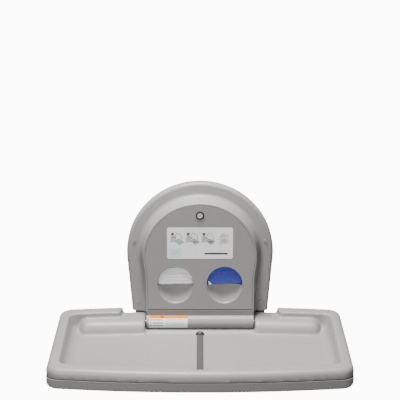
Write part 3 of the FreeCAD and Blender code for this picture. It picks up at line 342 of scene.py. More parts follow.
def moulded_skin():
    """Moulded surface: slow colour drift, faint scuffs, fine spark-eroded grain."""
    group, start, end = new_group(
        "moulded_skin",
        [("Colour", COLOUR, (0.5, 0.5, 0.5, 1)), ("Drift", FLOAT, 0.05), ("Grain Size", FLOAT, 900.0),
         ("Roughness Low", FLOAT, 0.42), ("Roughness High", FLOAT, 0.55)],
        [("Colour", COLOUR), ("Roughness", FLOAT), ("Height", FLOAT)])
    place = add(group, "ShaderNodeTexCoord").outputs["Object"]
    drift = add(group, "ShaderNodeTexNoise", [("Vector", place)], Scale=5.0, Detail=4.0)
    low = add(group, "ShaderNodeMath", [(0, start.outputs["Drift"])], operation="MULTIPLY_ADD")
    low.inputs[1].default_value = -1.0
    low.inputs[2].default_value = 1.0
    shade = add(group, "ShaderNodeMapRange", [("Value", drift.outputs[0]), ("To Min", low.outputs[0])],
                From_Min=0.3, From_Max=0.7)
    speck = add(group, "ShaderNodeTexNoise", [("Vector", place), ("Scale", start.outputs["Grain Size"])],
                Detail=2.0, Roughness=0.6)
    fine = add(group, "ShaderNodeMapRange", [("Value", speck.outputs[0])], From_Min=0.3, From_Max=0.7,
               To_Min=0.965, To_Max=1.02)
    both = add(group, "ShaderNodeMath", [(0, shade.outputs[0]), (1, fine.outputs[0])], operation="MULTIPLY")
    tone = add(group, "ShaderNodeCombineColor", [(0, both.outputs[0]), (1, both.outputs[0]), (2, both.outputs[0])])
    skin = mixed(group, 1.0, start.outputs["Colour"], tone.outputs[0], "MULTIPLY")
    scuff = add(group, "ShaderNodeTexNoise", [("Vector", place)], Scale=38.0, Detail=5.0, Roughness=0.7)
    rough = add(group, "ShaderNodeMapRange",
                [("Value", scuff.outputs[0]), ("To Min", start.outputs["Roughness Low"]),
                 ("To Max", start.outputs["Roughness High"])],
                From_Min=0.35, From_Max=0.65)
    group.links.new(skin, end.inputs["Colour"])
    group.links.new(rough.outputs[0], end.inputs["Roughness"])
    group.links.new(speck.outputs[0], end.inputs["Height"])
    return group


def brushed_lines():
    """Long scratches along X, with slight drift in tone and roughness."""
    group, start, end = new_group(
        "brushed_lines",
        [("Colour", COLOUR, (0.7, 0.7, 0.7, 1)), ("Line Density", FLOAT, 1400.0), ("Contrast", FLOAT, 0.12),
         ("Roughness Low", FLOAT, 0.24), ("Roughness High", FLOAT, 0.38)],
        [("Colour", COLOUR), ("Roughness", FLOAT), ("Height", FLOAT)])
    place = add(group, "ShaderNodeTexCoord").outputs["Object"]
    stretch = add(group, "ShaderNodeVectorMath", [(0, place)], operation="MULTIPLY")
    stretch.inputs[1].default_value = (0.012, 1.0, 1.0)
    lines = add(group, "ShaderNodeTexNoise",
                [("Vector", stretch.outputs[0]), ("Scale", start.outputs["Line Density"])],
                Detail=4.0, Roughness=0.75)
    low = add(group, "ShaderNodeMath", [(0, start.outputs["Contrast"])], operation="MULTIPLY_ADD")
    low.inputs[1].default_value = -1.0
    low.inputs[2].default_value = 1.0
    shade = add(group, "ShaderNodeMapRange", [("Value", lines.outputs[0]), ("To Min", low.outputs[0])],
                From_Min=0.3, From_Max=0.7)
    tone = add(group, "ShaderNodeCombineColor",
               [(0, shade.outputs[0]), (1, shade.outputs[0]), (2, shade.outputs[0])])
    skin = mixed(group, 1.0, start.outputs["Colour"], tone.outputs[0], "MULTIPLY")
    rough = add(group, "ShaderNodeMapRange",
                [("Value", lines.outputs[0]), ("To Min", start.outputs["Roughness Low"]),
                 ("To Max", start.outputs["Roughness High"])],
                From_Min=0.3, From_Max=0.7)
    group.links.new(skin, end.inputs["Colour"])
    group.links.new(rough.outputs[0], end.inputs["Roughness"])
    group.links.new(lines.outputs[0], end.inputs["Height"])
    return group


def woven_bands():
    """Webbing on its own UV map: ribs across, twill along, both in metres."""
    group, start, end = new_group(
        "woven_bands",
        [("Colour", COLOUR, (0.1, 0.1, 0.1, 1)), ("Rib Density", FLOAT, 1100.0), ("Contrast", FLOAT, 0.45)],
        [("Colour", COLOUR), ("Roughness", FLOAT), ("Height", FLOAT)])
    place = add(group, "ShaderNodeUVMap").outputs[0]
    split = add(group, "ShaderNodeSeparateXYZ", [(0, place)])
    waves = []
    for index, ratio in ((0, 0.62), (1, 1.0)):
        phase = add(group, "ShaderNodeMath", [(0, split.outputs[index]), (1, start.outputs["Rib Density"])],
                    operation="MULTIPLY")
        scaled = add(group, "ShaderNodeMath", [(0, phase.outputs[0])], operation="MULTIPLY")
        scaled.inputs[1].default_value = ratio * math.tau / 2
        waves.append(add(group, "ShaderNodeMath", [(0, scaled.outputs[0])], operation="SINE").outputs[0])
    weave = add(group, "ShaderNodeMath", [(0, waves[0]), (1, waves[1])], operation="MULTIPLY")
    height = add(group, "ShaderNodeMapRange", [("Value", weave.outputs[0])], From_Min=-1.0, From_Max=1.0)
    low = add(group, "ShaderNodeMath", [(0, start.outputs["Contrast"])], operation="MULTIPLY_ADD")
    low.inputs[1].default_value = -1.0
    low.inputs[2].default_value = 1.0
    shade = add(group, "ShaderNodeMapRange", [("Value", height.outputs[0]), ("To Min", low.outputs[0])])
    tone = add(group, "ShaderNodeCombineColor",
               [(0, shade.outputs[0]), (1, shade.outputs[0]), (2, shade.outputs[0])])
    skin = mixed(group, 1.0, start.outputs["Colour"], tone.outputs[0], "MULTIPLY")
    rough = add(group, "ShaderNodeMapRange", [("Value", height.outputs[0])], To_Min=0.85, To_Max=0.6)
    group.links.new(skin, end.inputs["Colour"])
    group.links.new(rough.outputs[0], end.inputs["Roughness"])
    group.links.new(height.outputs[0], end.inputs["Height"])
    return group


def finish_from(name, group, rgb, bump, shader=(), **inputs):
    """A material whose colour, roughness and bump come from one group."""
    material = bpy.data.materials.new(name)
    material.use_nodes = True
    tree = material.node_tree
    surface = tree.nodes["Principled BSDF"]
    texture = tree.nodes.new("ShaderNodeGroup")
    texture.node_tree = group
    texture.inputs["Colour"].default_value = (*rgb, 1)
    for key, value in inputs.items():
        texture.inputs[key.replace("_", " ")].default_value = value
    tree.links.new(texture.outputs["Colour"], surface.inputs["Base Color"])
    tree.links.new(texture.outputs["Roughness"], surface.inputs["Roughness"])
    relief = add(tree, "ShaderNodeBump", [("Height", texture.outputs["Height"])], Strength=bump, Distance=0.0005)
    tree.links.new(relief.outputs[0], surface.inputs["Normal"])
    for key, value in shader:
        surface.inputs[key].default_value = value
    return material


FINISHES = {}


def make_finishes():
    """Every finish of the object, by its name in the record."""
    tints = settings().station_colours
    skin, lines, weave = moulded_skin(), brushed_lines(), woven_bands()
    FINISHES.update(
        grey_plastic=finish_from("grey_plastic", skin, tints.plastic, 0.12, [("Specular IOR Level", 0.45)],
                                 Drift=0.035, Grain_Size=1100.0, Roughness_Low=0.38, Roughness_High=0.5),
        inner_plastic=finish_from("inner_plastic", skin, tints.inner, 0.1, Drift=0.08),
        black_plastic=finish_from("black_plastic", skin, tints.black, 0.15, Drift=0.2, Roughness_Low=0.35,
                                  Roughness_High=0.5),
        brushed_steel=finish_from("brushed_steel", lines, tints.steel, 0.08, [("Metallic", 0.5)], Contrast=0.2,
                                  Roughness_Low=0.36, Roughness_High=0.5),
        zinc_steel=finish_from("zinc_steel", skin, (0.46, 0.47, 0.49), 0.08, [("Metallic", 0.9)],
                               Drift=0.18, Grain_Size=260.0, Roughness_Low=0.3, Roughness_High=0.5),
        black_metal=finish_from("black_metal", skin, (0.02, 0.02, 0.022), 0.1, Drift=0.2, Grain_Size=500.0,
                                Roughness_Low=0.25, Roughness_High=0.4),
        chrome=finish_from("chrome", lines, (0.86, 0.86, 0.87), 0.02, [("Metallic", 0.55)], Contrast=0.05,
                           Roughness_Low=0.28, Roughness_High=0.36),
        lock_ring=finish_from("lock_ring", skin, (0.03, 0.03, 0.032), 0.05, Drift=0.2, Roughness_Low=0.3,
                              Roughness_High=0.42),
        label=finish_from("label", skin, (0.94, 0.94, 0.93), 0.03, Drift=0.02, Roughness_Low=0.26,
                          Roughness_High=0.33),
        paper=finish_from("paper", skin, (0.93, 0.92, 0.96), 0.25, Drift=0.06, Grain_Size=700.0,
                          Roughness_Low=0.8, Roughness_High=0.95),
        wrapper=finish_from("wrapper", skin, tints.wrapper, 0.1, Drift=0.15, Grain_Size=120.0,
                            Roughness_Low=0.16, Roughness_High=0.28),
        webbing=finish_from("webbing", weave, tints.webbing, 0.6),
        rubber=finish_from("rubber", skin, (0.025, 0.025, 0.025), 0.2, Drift=0.2, Roughness_Low=0.6,
                           Roughness_High=0.75),
        print_grey=finish_from("print_grey", skin, (0.11, 0.11, 0.12), 0.02, Drift=0.1),
        print_pale=finish_from("print_pale", skin, (0.5, 0.5, 0.51), 0.02, Drift=0.1),
        print_dark=finish_from("print_dark", skin, (0.05, 0.05, 0.055), 0.02, Drift=0.1),
        print_teal=finish_from("print_teal", skin, (0.28, 0.56, 0.6), 0.02, Drift=0.1),
        print_orange=finish_from("print_orange", skin, tints.caution, 0.02, [("Specular IOR Level", 0.05)],
                                 Drift=0.04),
        print_red=finish_from("print_red", skin, (0.2, 0.03, 0.002), 0.02, [("Specular IOR Level", 0.05)],
                              Drift=0.1),
    )


# ------------------------------------------------------------------ carried-over nodes

REFINED = {
    "hinge_bracket_left": 0.6, "hinge_bracket_right": 0.6, "hinge_arm_left": 0.5, "hinge_arm_right": 0.5,
    "wall_plate": 0.5, "crank_arm": 0.5, "gas_spring_rod": 0.3, "gas_spring_cylinder": 0.8,
    "gas_spring_clamps": 0.8, "stop_bumpers": 1.0, "hinge_bush_left": 0.4, "hinge_bush_right": 0.4,
    "lock_cam": 0.3, "liner_bay_left": 0.5, "liner_bay_right": 0.5, "strap_anchor": 0.8,
    "hinge_cover": 1.2, "dispenser_door": 1.0, "housing_shell": 1.0, "lock_bezel": 0.6, "lock_plug": 0.5,
    "arm_screws": 0.4, "housing_screws": 0.4, "hinge_rod": 0.8, "rod_clips": 0.4, "crank_pin": 0.3,
    "door_pins": 0.2, "bed_base": 1.2, "steel_panel": 0.3,
}


def slot_of(node):
    for row in frame["record"]["subparts"]:
        if row["node"] == node:
            return row["material_slot"]
    raise RuntimeError(f"{node} has no material slot")


def body_of(node):
    return frame["nodes"][node]["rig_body"]


def refined_mesh(node, radius_mm):
    """A merged copy of a node, with its sharp edges rounded."""
    radius = radius_mm * MM
    bm = bmesh.new()
    bm.from_mesh(frame["nodes"][node].data)
    bmesh.ops.remove_doubles(bm, verts=bm.verts, dist=1e-5)
    bmesh.ops.dissolve_limit(bm, angle_limit=math.radians(0.5), verts=bm.verts, edges=bm.edges)
    mesh = to_mesh(bm, outward=False)
    rounded = with_modifiers(mesh, ("BEVEL", {"width": radius, "segments": 2, "limit_method": "ANGLE",
                                              "angle_limit": math.radians(40), "harden_normals": False,
                                              "use_clamp_overlap": True}))
    return with_modifiers(smooth(rounded, 30), ("WEIGHTED_NORMAL", {"keep_sharp": True, "weight": 90}))


def dress_nodes():
    """Give every carried-over node its finish."""
    for name, node in frame["nodes"].items():
        node.data.materials.clear()
        node.data.materials.append(FINISHES[slot_of(name)])


# ------------------------------------------------------------------ bed

def bed_shape():
    """Rear and front of the bed, its rim, bottom and parting line."""
    return {"rear": -BASE_HIGH.y, "front": -BASE_LOW.y, "half": BASE_HIGH.x, "rim": TRAY_HIGH.z,
            "bottom": BASE_LOW.z, "parting": BASE_HIGH.z}


def bend_bed(mesh):
    """Bow a straight mesh's front, rear and side edges as the bed's are."""
    sizes = settings().bed_sizes
    shape = bed_shape()
    flat_half = shape["half"] - sizes.side_bow
    radius = (flat_half ** 2 + sizes.end_bow ** 2) / (2 * sizes.end_bow)
    middle = (shape["rear"] + shape["front"]) / 2
    reach = (shape["front"] - shape["rear"]) / 2
    for vert in mesh.vertices:
        side = (-vert.co.y - middle) / reach
        bow = radius - math.sqrt(radius ** 2 - min(abs(vert.co.x), radius) ** 2)
        vert.co.y += bow * side
        vert.co.x *= 1 - sizes.side_bow / shape["half"] * min(side * side, 1.0)
    return mesh


def rising_edge(edge):
    """Whether an edge runs from the parting line up to the rim."""
    a, b = (vert.co for vert in edge.verts)
    return abs(a.z - b.z) > 5 * MM


def tray_block():
    """Straight block of the tray: rounded rim above the parting line, hidden core below it."""
    sizes = settings().bed_sizes
    shape = bed_shape()
    core = 14 * MM
    bm = block(-shape["half"], shape["half"], shape["rear"], shape["front"], shape["parting"], shape["rim"])
    for vert in bm.verts:
        if abs(vert.co.z - shape["rim"]) < 1e-6:
            vert.co.y += sizes.rim_draft if -vert.co.y > shape["rear"] + 1 * MM else 0.0
    round_edges(bm, rising_edge, sizes.corner, 10)
    round_edges(bm, level_at(shape["rim"]), sizes.rim_round, 8)
    under = [face for face in bm.faces if all(abs(v.co.z - shape["parting"]) < 1e-6 for v in face.verts)]
    bmesh.ops.inset_region(bm, faces=under, thickness=core, use_even_offset=True)
    moved = bmesh.ops.extrude_face_region(bm, geom=under)["geom"]
    deep = shape["rim"] - sizes.tub_depth - 3 * MM - shape["parting"]
    bmesh.ops.translate(bm, verts=[g for g in moved if isinstance(g, bmesh.types.BMVert)], vec=(0, 0, deep))
    bmesh.ops.delete(bm, geom=under, context="FACES")
    slice_along_x(bm, -shape["half"], shape["half"], 40)
    for vert in bm.verts:
        near = 1 - (-vert.co.y - shape["rear"]) / (sizes.rim_rear + 20 * MM)
        if vert.co.z > shape["parting"] + 10 * MM and near > 0:
            vert.co.z += sizes.rear_lift * near
    return bend_bed(to_mesh(bm))


def tub_hollow(inset, floor_round):
    """The tub as a cutter: walls lean in towards a floor with a soft edge."""
    sizes = settings().bed_sizes
    shape = bed_shape()
    half = shape["half"] - sizes.rim_side - inset
    floor = shape["rim"] - sizes.tub_depth
    top = shape["rim"] + 30 * MM
    lift = (top - floor) / sizes.tub_depth
    bm = block(-half, half, shape["rear"] + sizes.rim_rear, shape["front"] - sizes.rim_front, floor, top)
    for vert in bm.verts:
        if vert.co.z < shape["rim"]:
            vert.co.x -= math.copysign(sizes.side_slope, vert.co.x)
            if -vert.co.y > shape["rear"] + sizes.rim_rear + 1 * MM:
                vert.co.y += sizes.front_slope
        else:
            vert.co.x += math.copysign(sizes.side_slope * (lift - 1), vert.co.x)
            if -vert.co.y > shape["rear"] + sizes.rim_rear + 1 * MM:
                vert.co.y -= sizes.front_slope * (lift - 1)
    round_edges(bm, upright, 26 * MM, 8)
    round_edges(bm, level_at(floor), floor_round, 8)
    slice_along_x(bm, -half - 40 * MM, half + 40 * MM, 40)
    return bend_bed(to_mesh(bm))


def rear_gap_cutter():
    """The gap in the rear rim between the two slanted rim ends."""
    sizes = settings().bed_sizes
    shape = bed_shape()
    bottom = shape["rim"] - sizes.bulge_drop - 1 * MM
    bm = block(-sizes.rear_gap, sizes.rear_gap, 0, shape["rear"] + sizes.rim_rear + 12 * MM, bottom,
               shape["rim"] + 30 * MM)
    for vert in bm.verts:
        if -vert.co.y > shape["rear"]:
            vert.co.x += math.copysign(14 * MM, vert.co.x)
    round_edges(bm, upright, 10 * MM, 5)
    return to_mesh(bm)


def hinge_bulge(side):
    """Rounded housing for one hinge arm, from the hinge's end out to a rounded end."""
    sizes = settings().bed_sizes
    shape = bed_shape()
    rear = shape["rear"]
    low = shape["rim"] - sizes.tub_depth - 3 * MM
    top = shape["rim"] - sizes.bulge_drop
    foot = rear + sizes.bulge_foot
    radius = sizes.bulge_round
    section = [(rear, low), (rear, top - 9 * MM)] + arc(rear + 9 * MM, top - 9 * MM, 9 * MM, 180, 90, 4)[1:]
    section += arc(foot - radius, top - radius, radius, 90, 0, 10) + [(foot, low)]
    inner = COVER_HIGH.x + 5 * MM
    tip = 30 * MM
    steps = 14
    stations = [(inner + (sizes.bulge_half - tip - inner) * n / steps, 1.0) for n in range(steps + 1)]
    for n in range(1, 8):
        angle = math.pi / 2 * n / 8
        stations.append((sizes.bulge_half - tip + tip * math.sin(angle), math.cos(angle)))
    rings = []
    for x, share in stations:
        rings.append([at(side * x, rear + (out - rear) * (0.45 + 0.55 * share), low + (z - low) * share)
                      for out, z in section])
    return bend_bed(loft(rings))


def hinge_ledge():
    """Ledge of the floor in front of the hinge."""
    sizes = settings().bed_sizes
    shape = bed_shape()
    half = COVER_HIGH.x + 6 * MM
    near = ledge_out()
    floor = shape["rim"] - sizes.tub_depth
    top = shape["rim"] - sizes.ledge_drop
    section = [(near, floor - 2 * MM), (near, top), (near + 7 * MM, top), (near + 24 * MM, floor - 1 * MM)]
    return loft([[at(x, out, z) for out, z in section] for x in (-half, half)])


def ledge_out():
    """Where the tray's edge in front of the hinge stands."""
    return -COVER_LOW.y + 6.5 * MM


def hinge_notch():
    half = COVER_HIGH.x + 5 * MM
    shape = bed_shape()
    return to_mesh(block(-half, half, -0.01, ledge_out(), shape["bottom"] - 0.02, shape["rim"] + 0.03))


def strap_notch():
    sizes = settings().bed_sizes
    shape = bed_shape()
    half = sizes.notch_width / 2
    rim_edge = shape["front"] - sizes.rim_front
    bm = block(-half, half, rim_edge - 20 * MM, rim_edge + sizes.notch_reach, shape["rim"] - sizes.notch_drop,
               shape["rim"] + 20 * MM)
    round_edges(bm, upright, 5 * MM, 4)
    return to_mesh(bm)


class STATION_OT_bed_tray(bpy.types.Operator):
    """Upper moulding of the bed: rim, tub, hinge bulges and strap notch as one soft form"""

    bl_idname = "station.bed_tray"
    bl_label = "Bed tray"

    def execute(self, context):
        sizes = context.scene.bed_sizes
        rough = minus(tray_block(), tub_hollow(0.0, sizes.floor_round), tub_hollow(30 * MM, sizes.front_round),
                      rear_gap_cutter(), hinge_notch(), strap_notch())
        whole = joined(rough, hinge_bulge(-1), hinge_bulge(1), hinge_ledge())
        mesh = with_modifiers(
            whole,
            ("REMESH", {"mode": "VOXEL", "voxel_size": sizes.moulding_grid, "adaptivity": 0.0}),
            ("SMOOTH", {"factor": 0.5, "iterations": 4}))
        mesh.shade_smooth()
        place_object("tray_moulding", mesh, FINISHES["grey_plastic"], "bed", ["bed_tray"])
        return {"FINISHED"}


# ------------------------------------------------------------------ housing and the rest

class STATION_OT_refined(bpy.types.Operator):
    """Round the edges of the pieces that keep their CAD shape"""

    bl_idname = "station.refined"
    bl_label = "Refined pieces"

    def execute(self, context):
        for node, radius in REFINED.items():
            slot = slot_of(node)
            mesh = refined_mesh(node, radius)
            place_object(f"{node}_finished", mesh, FINISHES[slot], body_of(node), [node])
        return {"FINISHED"}


# ------------------------------------------------------------------ strap

def strap_path():
    """The webbing's underside from its guide along the floor, up the front wall and into the notch."""
    sizes = settings().bed_sizes
    shape = bed_shape()
    floor = shape["rim"] - sizes.tub_depth + 0.4 * MM
    shelf = shape["rim"] - sizes.notch_drop + 0.4 * MM
    wall = shape["front"] - sizes.rim_front - 1.6 * MM
    foot = wall - sizes.front_slope
    bend = 5 * MM
    path = [(-STRAP_HIGH.y, floor)]
    path += arc(foot - bend, floor + bend, bend, -90, 0, 5)
    path += arc(wall + bend, shelf - bend, bend, 180, 90, 5)
    path += [(-STRAP_LOW.y, shelf)]
    return path


def webbing(width, path, thick):
    """A flat band with rolled edges along a path, with UV in metres across and along."""
    half = width / 2
    across = [(-half, 0.25), (-half + 0.5 * MM, 0.0), (half - 0.5 * MM, 0.0), (half, 0.25),
              (half, 0.75), (half - 0.5 * MM, 1.0), (0, 1.1), (-half + 0.5 * MM, 1.0), (-half, 0.75)]
    stations, places, run = [], [], 0.0
    for number, (out, z) in enumerate(path):
        before, after = path[max(number - 1, 0)], path[min(number + 1, len(path) - 1)]
        along = Vector((after[0] - before[0], after[1] - before[1])).normalized()
        if number:
            run += math.dist(path[number - 1], (out, z))
        stations.append([at(x, out - along.y * share * thick, z + along.x * share * thick) for x, share in across])
        places.append(run)
    mesh = loft(stations)
    layer = mesh.uv_layers.new(name="UVMap")
    for loop in mesh.loops:
        co = mesh.vertices[loop.vertex_index].co
        nearest = min(range(len(path)), key=lambda n: math.dist(path[n], (-co.y, co.z)))
        layer.data[loop.index].uv = (co.x + half, places[nearest])
    return smooth(mesh, 50)


def divided(path, step):
    """The path with its long runs divided, so that the weave and the bend stay even."""
    result = [path[0]]
    for a, b in zip(path, path[1:]):
        count = max(int(math.dist(a, b) / step), 1)
        result += [(a[0] + (b[0] - a[0]) * n / count, a[1] + (b[1] - a[1]) * n / count)
                   for n in range(1, count + 1)]
    return result


class STATION_OT_strap(bpy.types.Operator):
    """Child strap of woven webbing and the hood that it comes out of"""

    bl_idname = "station.strap"
    bl_label = "Strap"

    def execute(self, context):
        width = STRAP_HIGH.x - STRAP_LOW.x
        path = divided(strap_path(), 12 * MM)
        strap = place_object("strap_webbing", webbing(width, path, 1.5 * MM), FINISHES["webbing"], "bed",
                             ["strap"])
        bm = bmesh.new()
        middle = at(0, -GUIDE_HIGH.y + 5 * MM, GUIDE_LOW.z - 1 * MM)
        size = Matrix.Diagonal(((GUIDE_HIGH.x - GUIDE_LOW.x) / 2, 10 * MM, 10.4 * MM, 1))
        bmesh.ops.create_uvsphere(bm, u_segments=32, v_segments=16, radius=1,
                                  matrix=Matrix.Translation(middle) @ size)
        for vert in bm.verts:
            vert.co.z = max(vert.co.z, GUIDE_LOW.z - 1.5 * MM)
        dome = to_mesh(bm)
        room = width / 2 + 0.6 * MM
        mouth = to_mesh(block(-room, room, -GUIDE_HIGH.y + 1 * MM, -GUIDE_LOW.y + 9 * MM,
                              GUIDE_LOW.z - 12 * MM, GUIDE_LOW.z + 3.4 * MM))
        place_object("strap_hood", smooth(minus(dome, mouth), 40), FINISHES["black_plastic"], "bed",
                     ["strap_guide"])
        return {"FINISHED"}


# ------------------------------------------------------------------ liners

WINDOW_SILL = 2.2 * MM           # liners hang this far above the windows' flat edge


def bulge_sections(folds, depth, wave):
    """Section of the liners' bulge in the window: folds of uneven height, each with a rounded front."""
    heights = [1 + 0.45 * math.sin(2.3 * n + 0.8) for n in range(folds)]
    scale = 1 / sum(heights)
    section, start = [], 0.0
    for number, height in enumerate(heights):
        share = height * scale
        swing = depth * (0.75 + 0.25 * math.sin(4.1 * number + wave))
        section += [(start + share * t, -swing * (2 * t - 1) ** 2) for t in (0.04, 0.2, 0.5, 0.8, 0.96)]
        start += share
    return section


def liner_bulge(node, folds, depth, ripple):
    """Front of a liner stack where it swells forward into the door's window."""
    low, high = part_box(node)
    middle = (low.x + high.x) / 2
    half = (high.x - low.x) / 2 + 3.5 * MM
    bottom = WINDOW_EDGE + WINDOW_SILL
    top = bottom + 62 * MM
    back = -low.y - 2 * MM
    front = -DOOR_LOW.y - 5.2 * MM
    steps = 36
    rings = []
    for n in range(steps + 1):
        x = middle - half + 2 * half * n / steps
        edge = min(n, steps - n)
        inset = 2.5 * MM * (1 - math.sqrt(1 - (1 - min(edge, 3) / 3) ** 2))
        sag = ripple * math.sin(0.9 + 5.0 * n / steps + middle * 40)
        ring = [at(x, back, bottom)]
        for share, dip in bulge_sections(folds, depth, 3.0 * math.sin(n * 0.35)):
            z = bottom + share * (top - bottom) + sag * (1 - share)
            round_top = 9 * MM * max(share - 0.82, 0) / 0.18
            ring.append(at(x, front + dip - inset - round_top, z + 0.35 * MM * math.sin(n * 0.8 + share * 23)))
        ring.append(at(x, back, top))
        rings.append(ring)
    return loft(rings)


class STATION_OT_liners(bpy.types.Operator):
    """Paper liners in the left bay and a wrapped pack in the right one"""

    bl_idname = "station.liners"
    bl_label = "Liners"

    def execute(self, context):
        for node, body, finish, folds, depth, ripple in (
                ("liner_stack", "left_liners", "paper", 9, 2.6 * MM, 0.8 * MM),
                ("liner_pack", "right_liners", "wrapper", 2, 0.9 * MM, 1.6 * MM)):
            whole = joined(refined_mesh(node, 2.0), liner_bulge(node, folds, depth, ripple))
            place_object(f"{node}_folds", smooth(whole, 50), FINISHES[finish], body, [node])
        low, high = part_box("liner_pack")
        edge, front = WINDOW_EDGE + WINDOW_SILL, -DOOR_LOW.y - 4.6 * MM
        corner = low.x + 3 * MM
        patch = Print(front)
        patch.shape([(corner, edge - 0.5 * MM), (corner + 9 * MM, edge - 0.5 * MM),
                     (corner + 5 * MM, edge + 6 * MM), (corner - 0.5 * MM, edge + 11 * MM)])
        place_object("pack_corner", patch.finish(), FINISHES["paper"], "right_liners")
        return {"FINISHED"}


# ------------------------------------------------------------------ labels

class Print:
    """Flat printed marks on a plane that faces out of the wall, as thin raised shapes."""

    thick = 0.08 * MM

    def __init__(self, out):
        self.bm = bmesh.new()
        self.out = out

    def shape(self, points):
        face = self.bm.faces.new([self.bm.verts.new(at(x, self.out, z)) for x, z in points])
        made = bmesh.ops.extrude_face_region(self.bm, geom=[face])["geom"]
        bmesh.ops.translate(self.bm, verts=[g for g in made if isinstance(g, bmesh.types.BMVert)],
                            vec=(0, -self.thick, 0))

    def bar(self, a, b, width):
        a, b = Vector(a), Vector(b)
        along = (b - a).normalized() * width / 2
        across = Vector((-along.y, along.x))
        self.shape([a - along - across, b + along - across, b + along + across, a - along + across])

    def path(self, points, width, closed=False):
        for a, b in zip(points, points[1:] + (points[:1] if closed else [])):
            self.bar(a, b, width)

    def disc(self, x, z, radius, steps=20):
        self.shape([(x + radius * math.cos(math.tau * n / steps), z + radius * math.sin(math.tau * n / steps))
                    for n in range(steps)])

    def finish(self):
        return to_mesh(self.bm)


def around(x, z, *points):
    """Points given in millimetres about a place."""
    return [(x + across * MM, z + up * MM) for across, up in points]


def draw_liner_box(ink, pale, x, base, line):
    """Pictogram of a box of liners seen from a corner."""
    ink.path(around(x, base, (-11, 2), (-11, 24), (-2, 34), (13, 30), (13, 6)), line, closed=True)
    pale.shape(around(x, base, (-8, 6), (9, 8), (9, 20), (-8, 18)))
    for level in range(3):
        ink.bar(*around(x, base, (-6, 21 + 3 * level), (8, 23 + 3 * level)), 1.1 * MM)


def draw_pictograms(ink, pale, middle, top, pitch):
    """Four generic steps as small skewed views: unfold, lay down, fasten, take a liner."""
    line = 1.5 * MM
    shrink = 0.22                # how much smaller the tray's pale inside is than its outline
    base = top - 47 * MM
    for number in range(3):
        x = middle + (number - 1.5) * pitch
        ink.path(around(x, base, (-4, 16), (-2, 33), (5, 37), (15, 31), (18, 12)), line)
        tray = around(x, base, (-5, 12), (8, 18), (21, 8), (9, 1))
        (centre_x, centre_z), = around(x, base, (8, 9))
        pale.shape([(a - (a - centre_x) * shrink, b - (b - centre_z) * shrink) for a, b in tray])
        ink.path(tray, line * 1.2, closed=True)
        ink.disc(x - 12 * MM, base + 34 * MM, 5 * MM)
        pale.shape(around(x, base, (-19, 8), (-6, 8), (-7, 28), (-17, 28)))
        ink.bar(*around(x, base, (-9, 25), (2 * number - 1, 22 - 3 * number)), 2.2 * MM)
        if number:
            ink.bar(*around(x, base, (4, 10), (13, 9)), 3 * MM)
        if number == 2:
            ink.bar(*around(x, base, (6, 4), (11, 14)), 1.6 * MM)
    draw_liner_box(ink, pale, middle + 1.5 * pitch, base, line)


def curved_patch(x0, x1, start, end, radius, thick):
    """A thin patch on the hinge barrel between two angles in degrees."""
    hinge_y, hinge_z = HINGE[1:]
    outer = arc(-hinge_y, hinge_z, radius + thick, start, end, max(int(abs(end - start) / 5), 2))
    inner = arc(-hinge_y, hinge_z, radius, end, start, max(int(abs(end - start) / 5), 2))
    return loft([[at(x, out, z) for out, z in outer + inner] for x in (x0, x1)])


class STATION_OT_labels(bpy.types.Operator):
    """Plain instruction label with generic pictograms and a plain banded label on the hinge"""

    bl_idname = "station.labels"
    bl_label = "Labels"

    def execute(self, context):
        place_object("instruction_plate", refined_mesh("instruction_label", 0.15), FINISHES["label"], "door",
                     ["instruction_label"])
        width = LABEL_HIGH.x - LABEL_LOW.x
        ink = Print(-LABEL_LOW.y)
        pale = Print(-LABEL_LOW.y)
        draw_pictograms(ink, pale, 0.0, LABEL_HIGH.z - 8 * MM, width / 4.2)
        place_object("instruction_marks", ink.finish(), FINISHES["print_grey"], "door")
        place_object("instruction_shades", pale.finish(), FINISHES["print_pale"], "door")
        tint = Print(-LABEL_LOW.y)
        left, low = LABEL_LOW.x + 8 * MM, LABEL_LOW.z + 8 * MM
        tint.path([(left, low), (left + 34 * MM, low), (left + 34 * MM, low + 24 * MM), (left, low + 24 * MM)],
                  1.4 * MM, closed=True)
        for row in range(3):
            height = low + (6 + 6 * row) * MM
            tint.bar((left + 6 * MM, height), (left + 28 * MM, height), 2.4 * MM)
        place_object("instruction_tint", tint.finish(), FINISHES["print_teal"], "door")
        bars = Print(-LABEL_LOW.y)
        for start, end in ((17, 58), (61, 82)):
            bars.bar((start * MM, low + 9 * MM), (end * MM, low + 9 * MM), 5.5 * MM)
        place_object("instruction_bars", bars.finish(), FINISHES["print_dark"], "door")
        self.banded_label()
        return {"FINISHED"}

    def banded_label(self):
        radius = HINGE[2] - COVER_LOW.z
        x0, x1 = CAUTION_LOW.x, CAUTION_HIGH.x
        thick = 0.35 * MM
        face = radius + thick
        ink_thick = 0.1 * MM

        def mark(start, end, upper, lower):
            return curved_patch(x0 + start * MM, x0 + end * MM, upper, lower, face, ink_thick)

        white = curved_patch(x0, x1, 44, -30, radius, thick)
        place_object("hinge_label", smooth(white), FINISHES["label"], "wall_unit", ["caution_label"])
        band = curved_patch(x0, x1, 70, 44.5, radius, thick)
        place_object("hinge_label_band", smooth(band), FINISHES["print_orange"], "wall_unit")
        marks, lines = [], []
        for row in range(3):
            angle = 33 - 22 * row
            marks.append(mark(4, 8, angle + 5, angle - 5))
            lines.append(mark(11, 44, angle + 3, angle - 3))
        for row in range(6):
            angle = 36 - 10 * row
            lines.append(mark(52, 112, angle + 0.9, angle - 0.9))
        marks.append(mark(38, 44, 63, 51))
        lines.append(mark(48, 80, 61, 53))
        place_object("hinge_label_dots", smooth(joined(*marks)), FINISHES["print_red"], "wall_unit")
        place_object("hinge_label_lines", smooth(joined(*lines)), FINISHES["print_grey"], "wall_unit")


# ------------------------------------------------------------------ stage

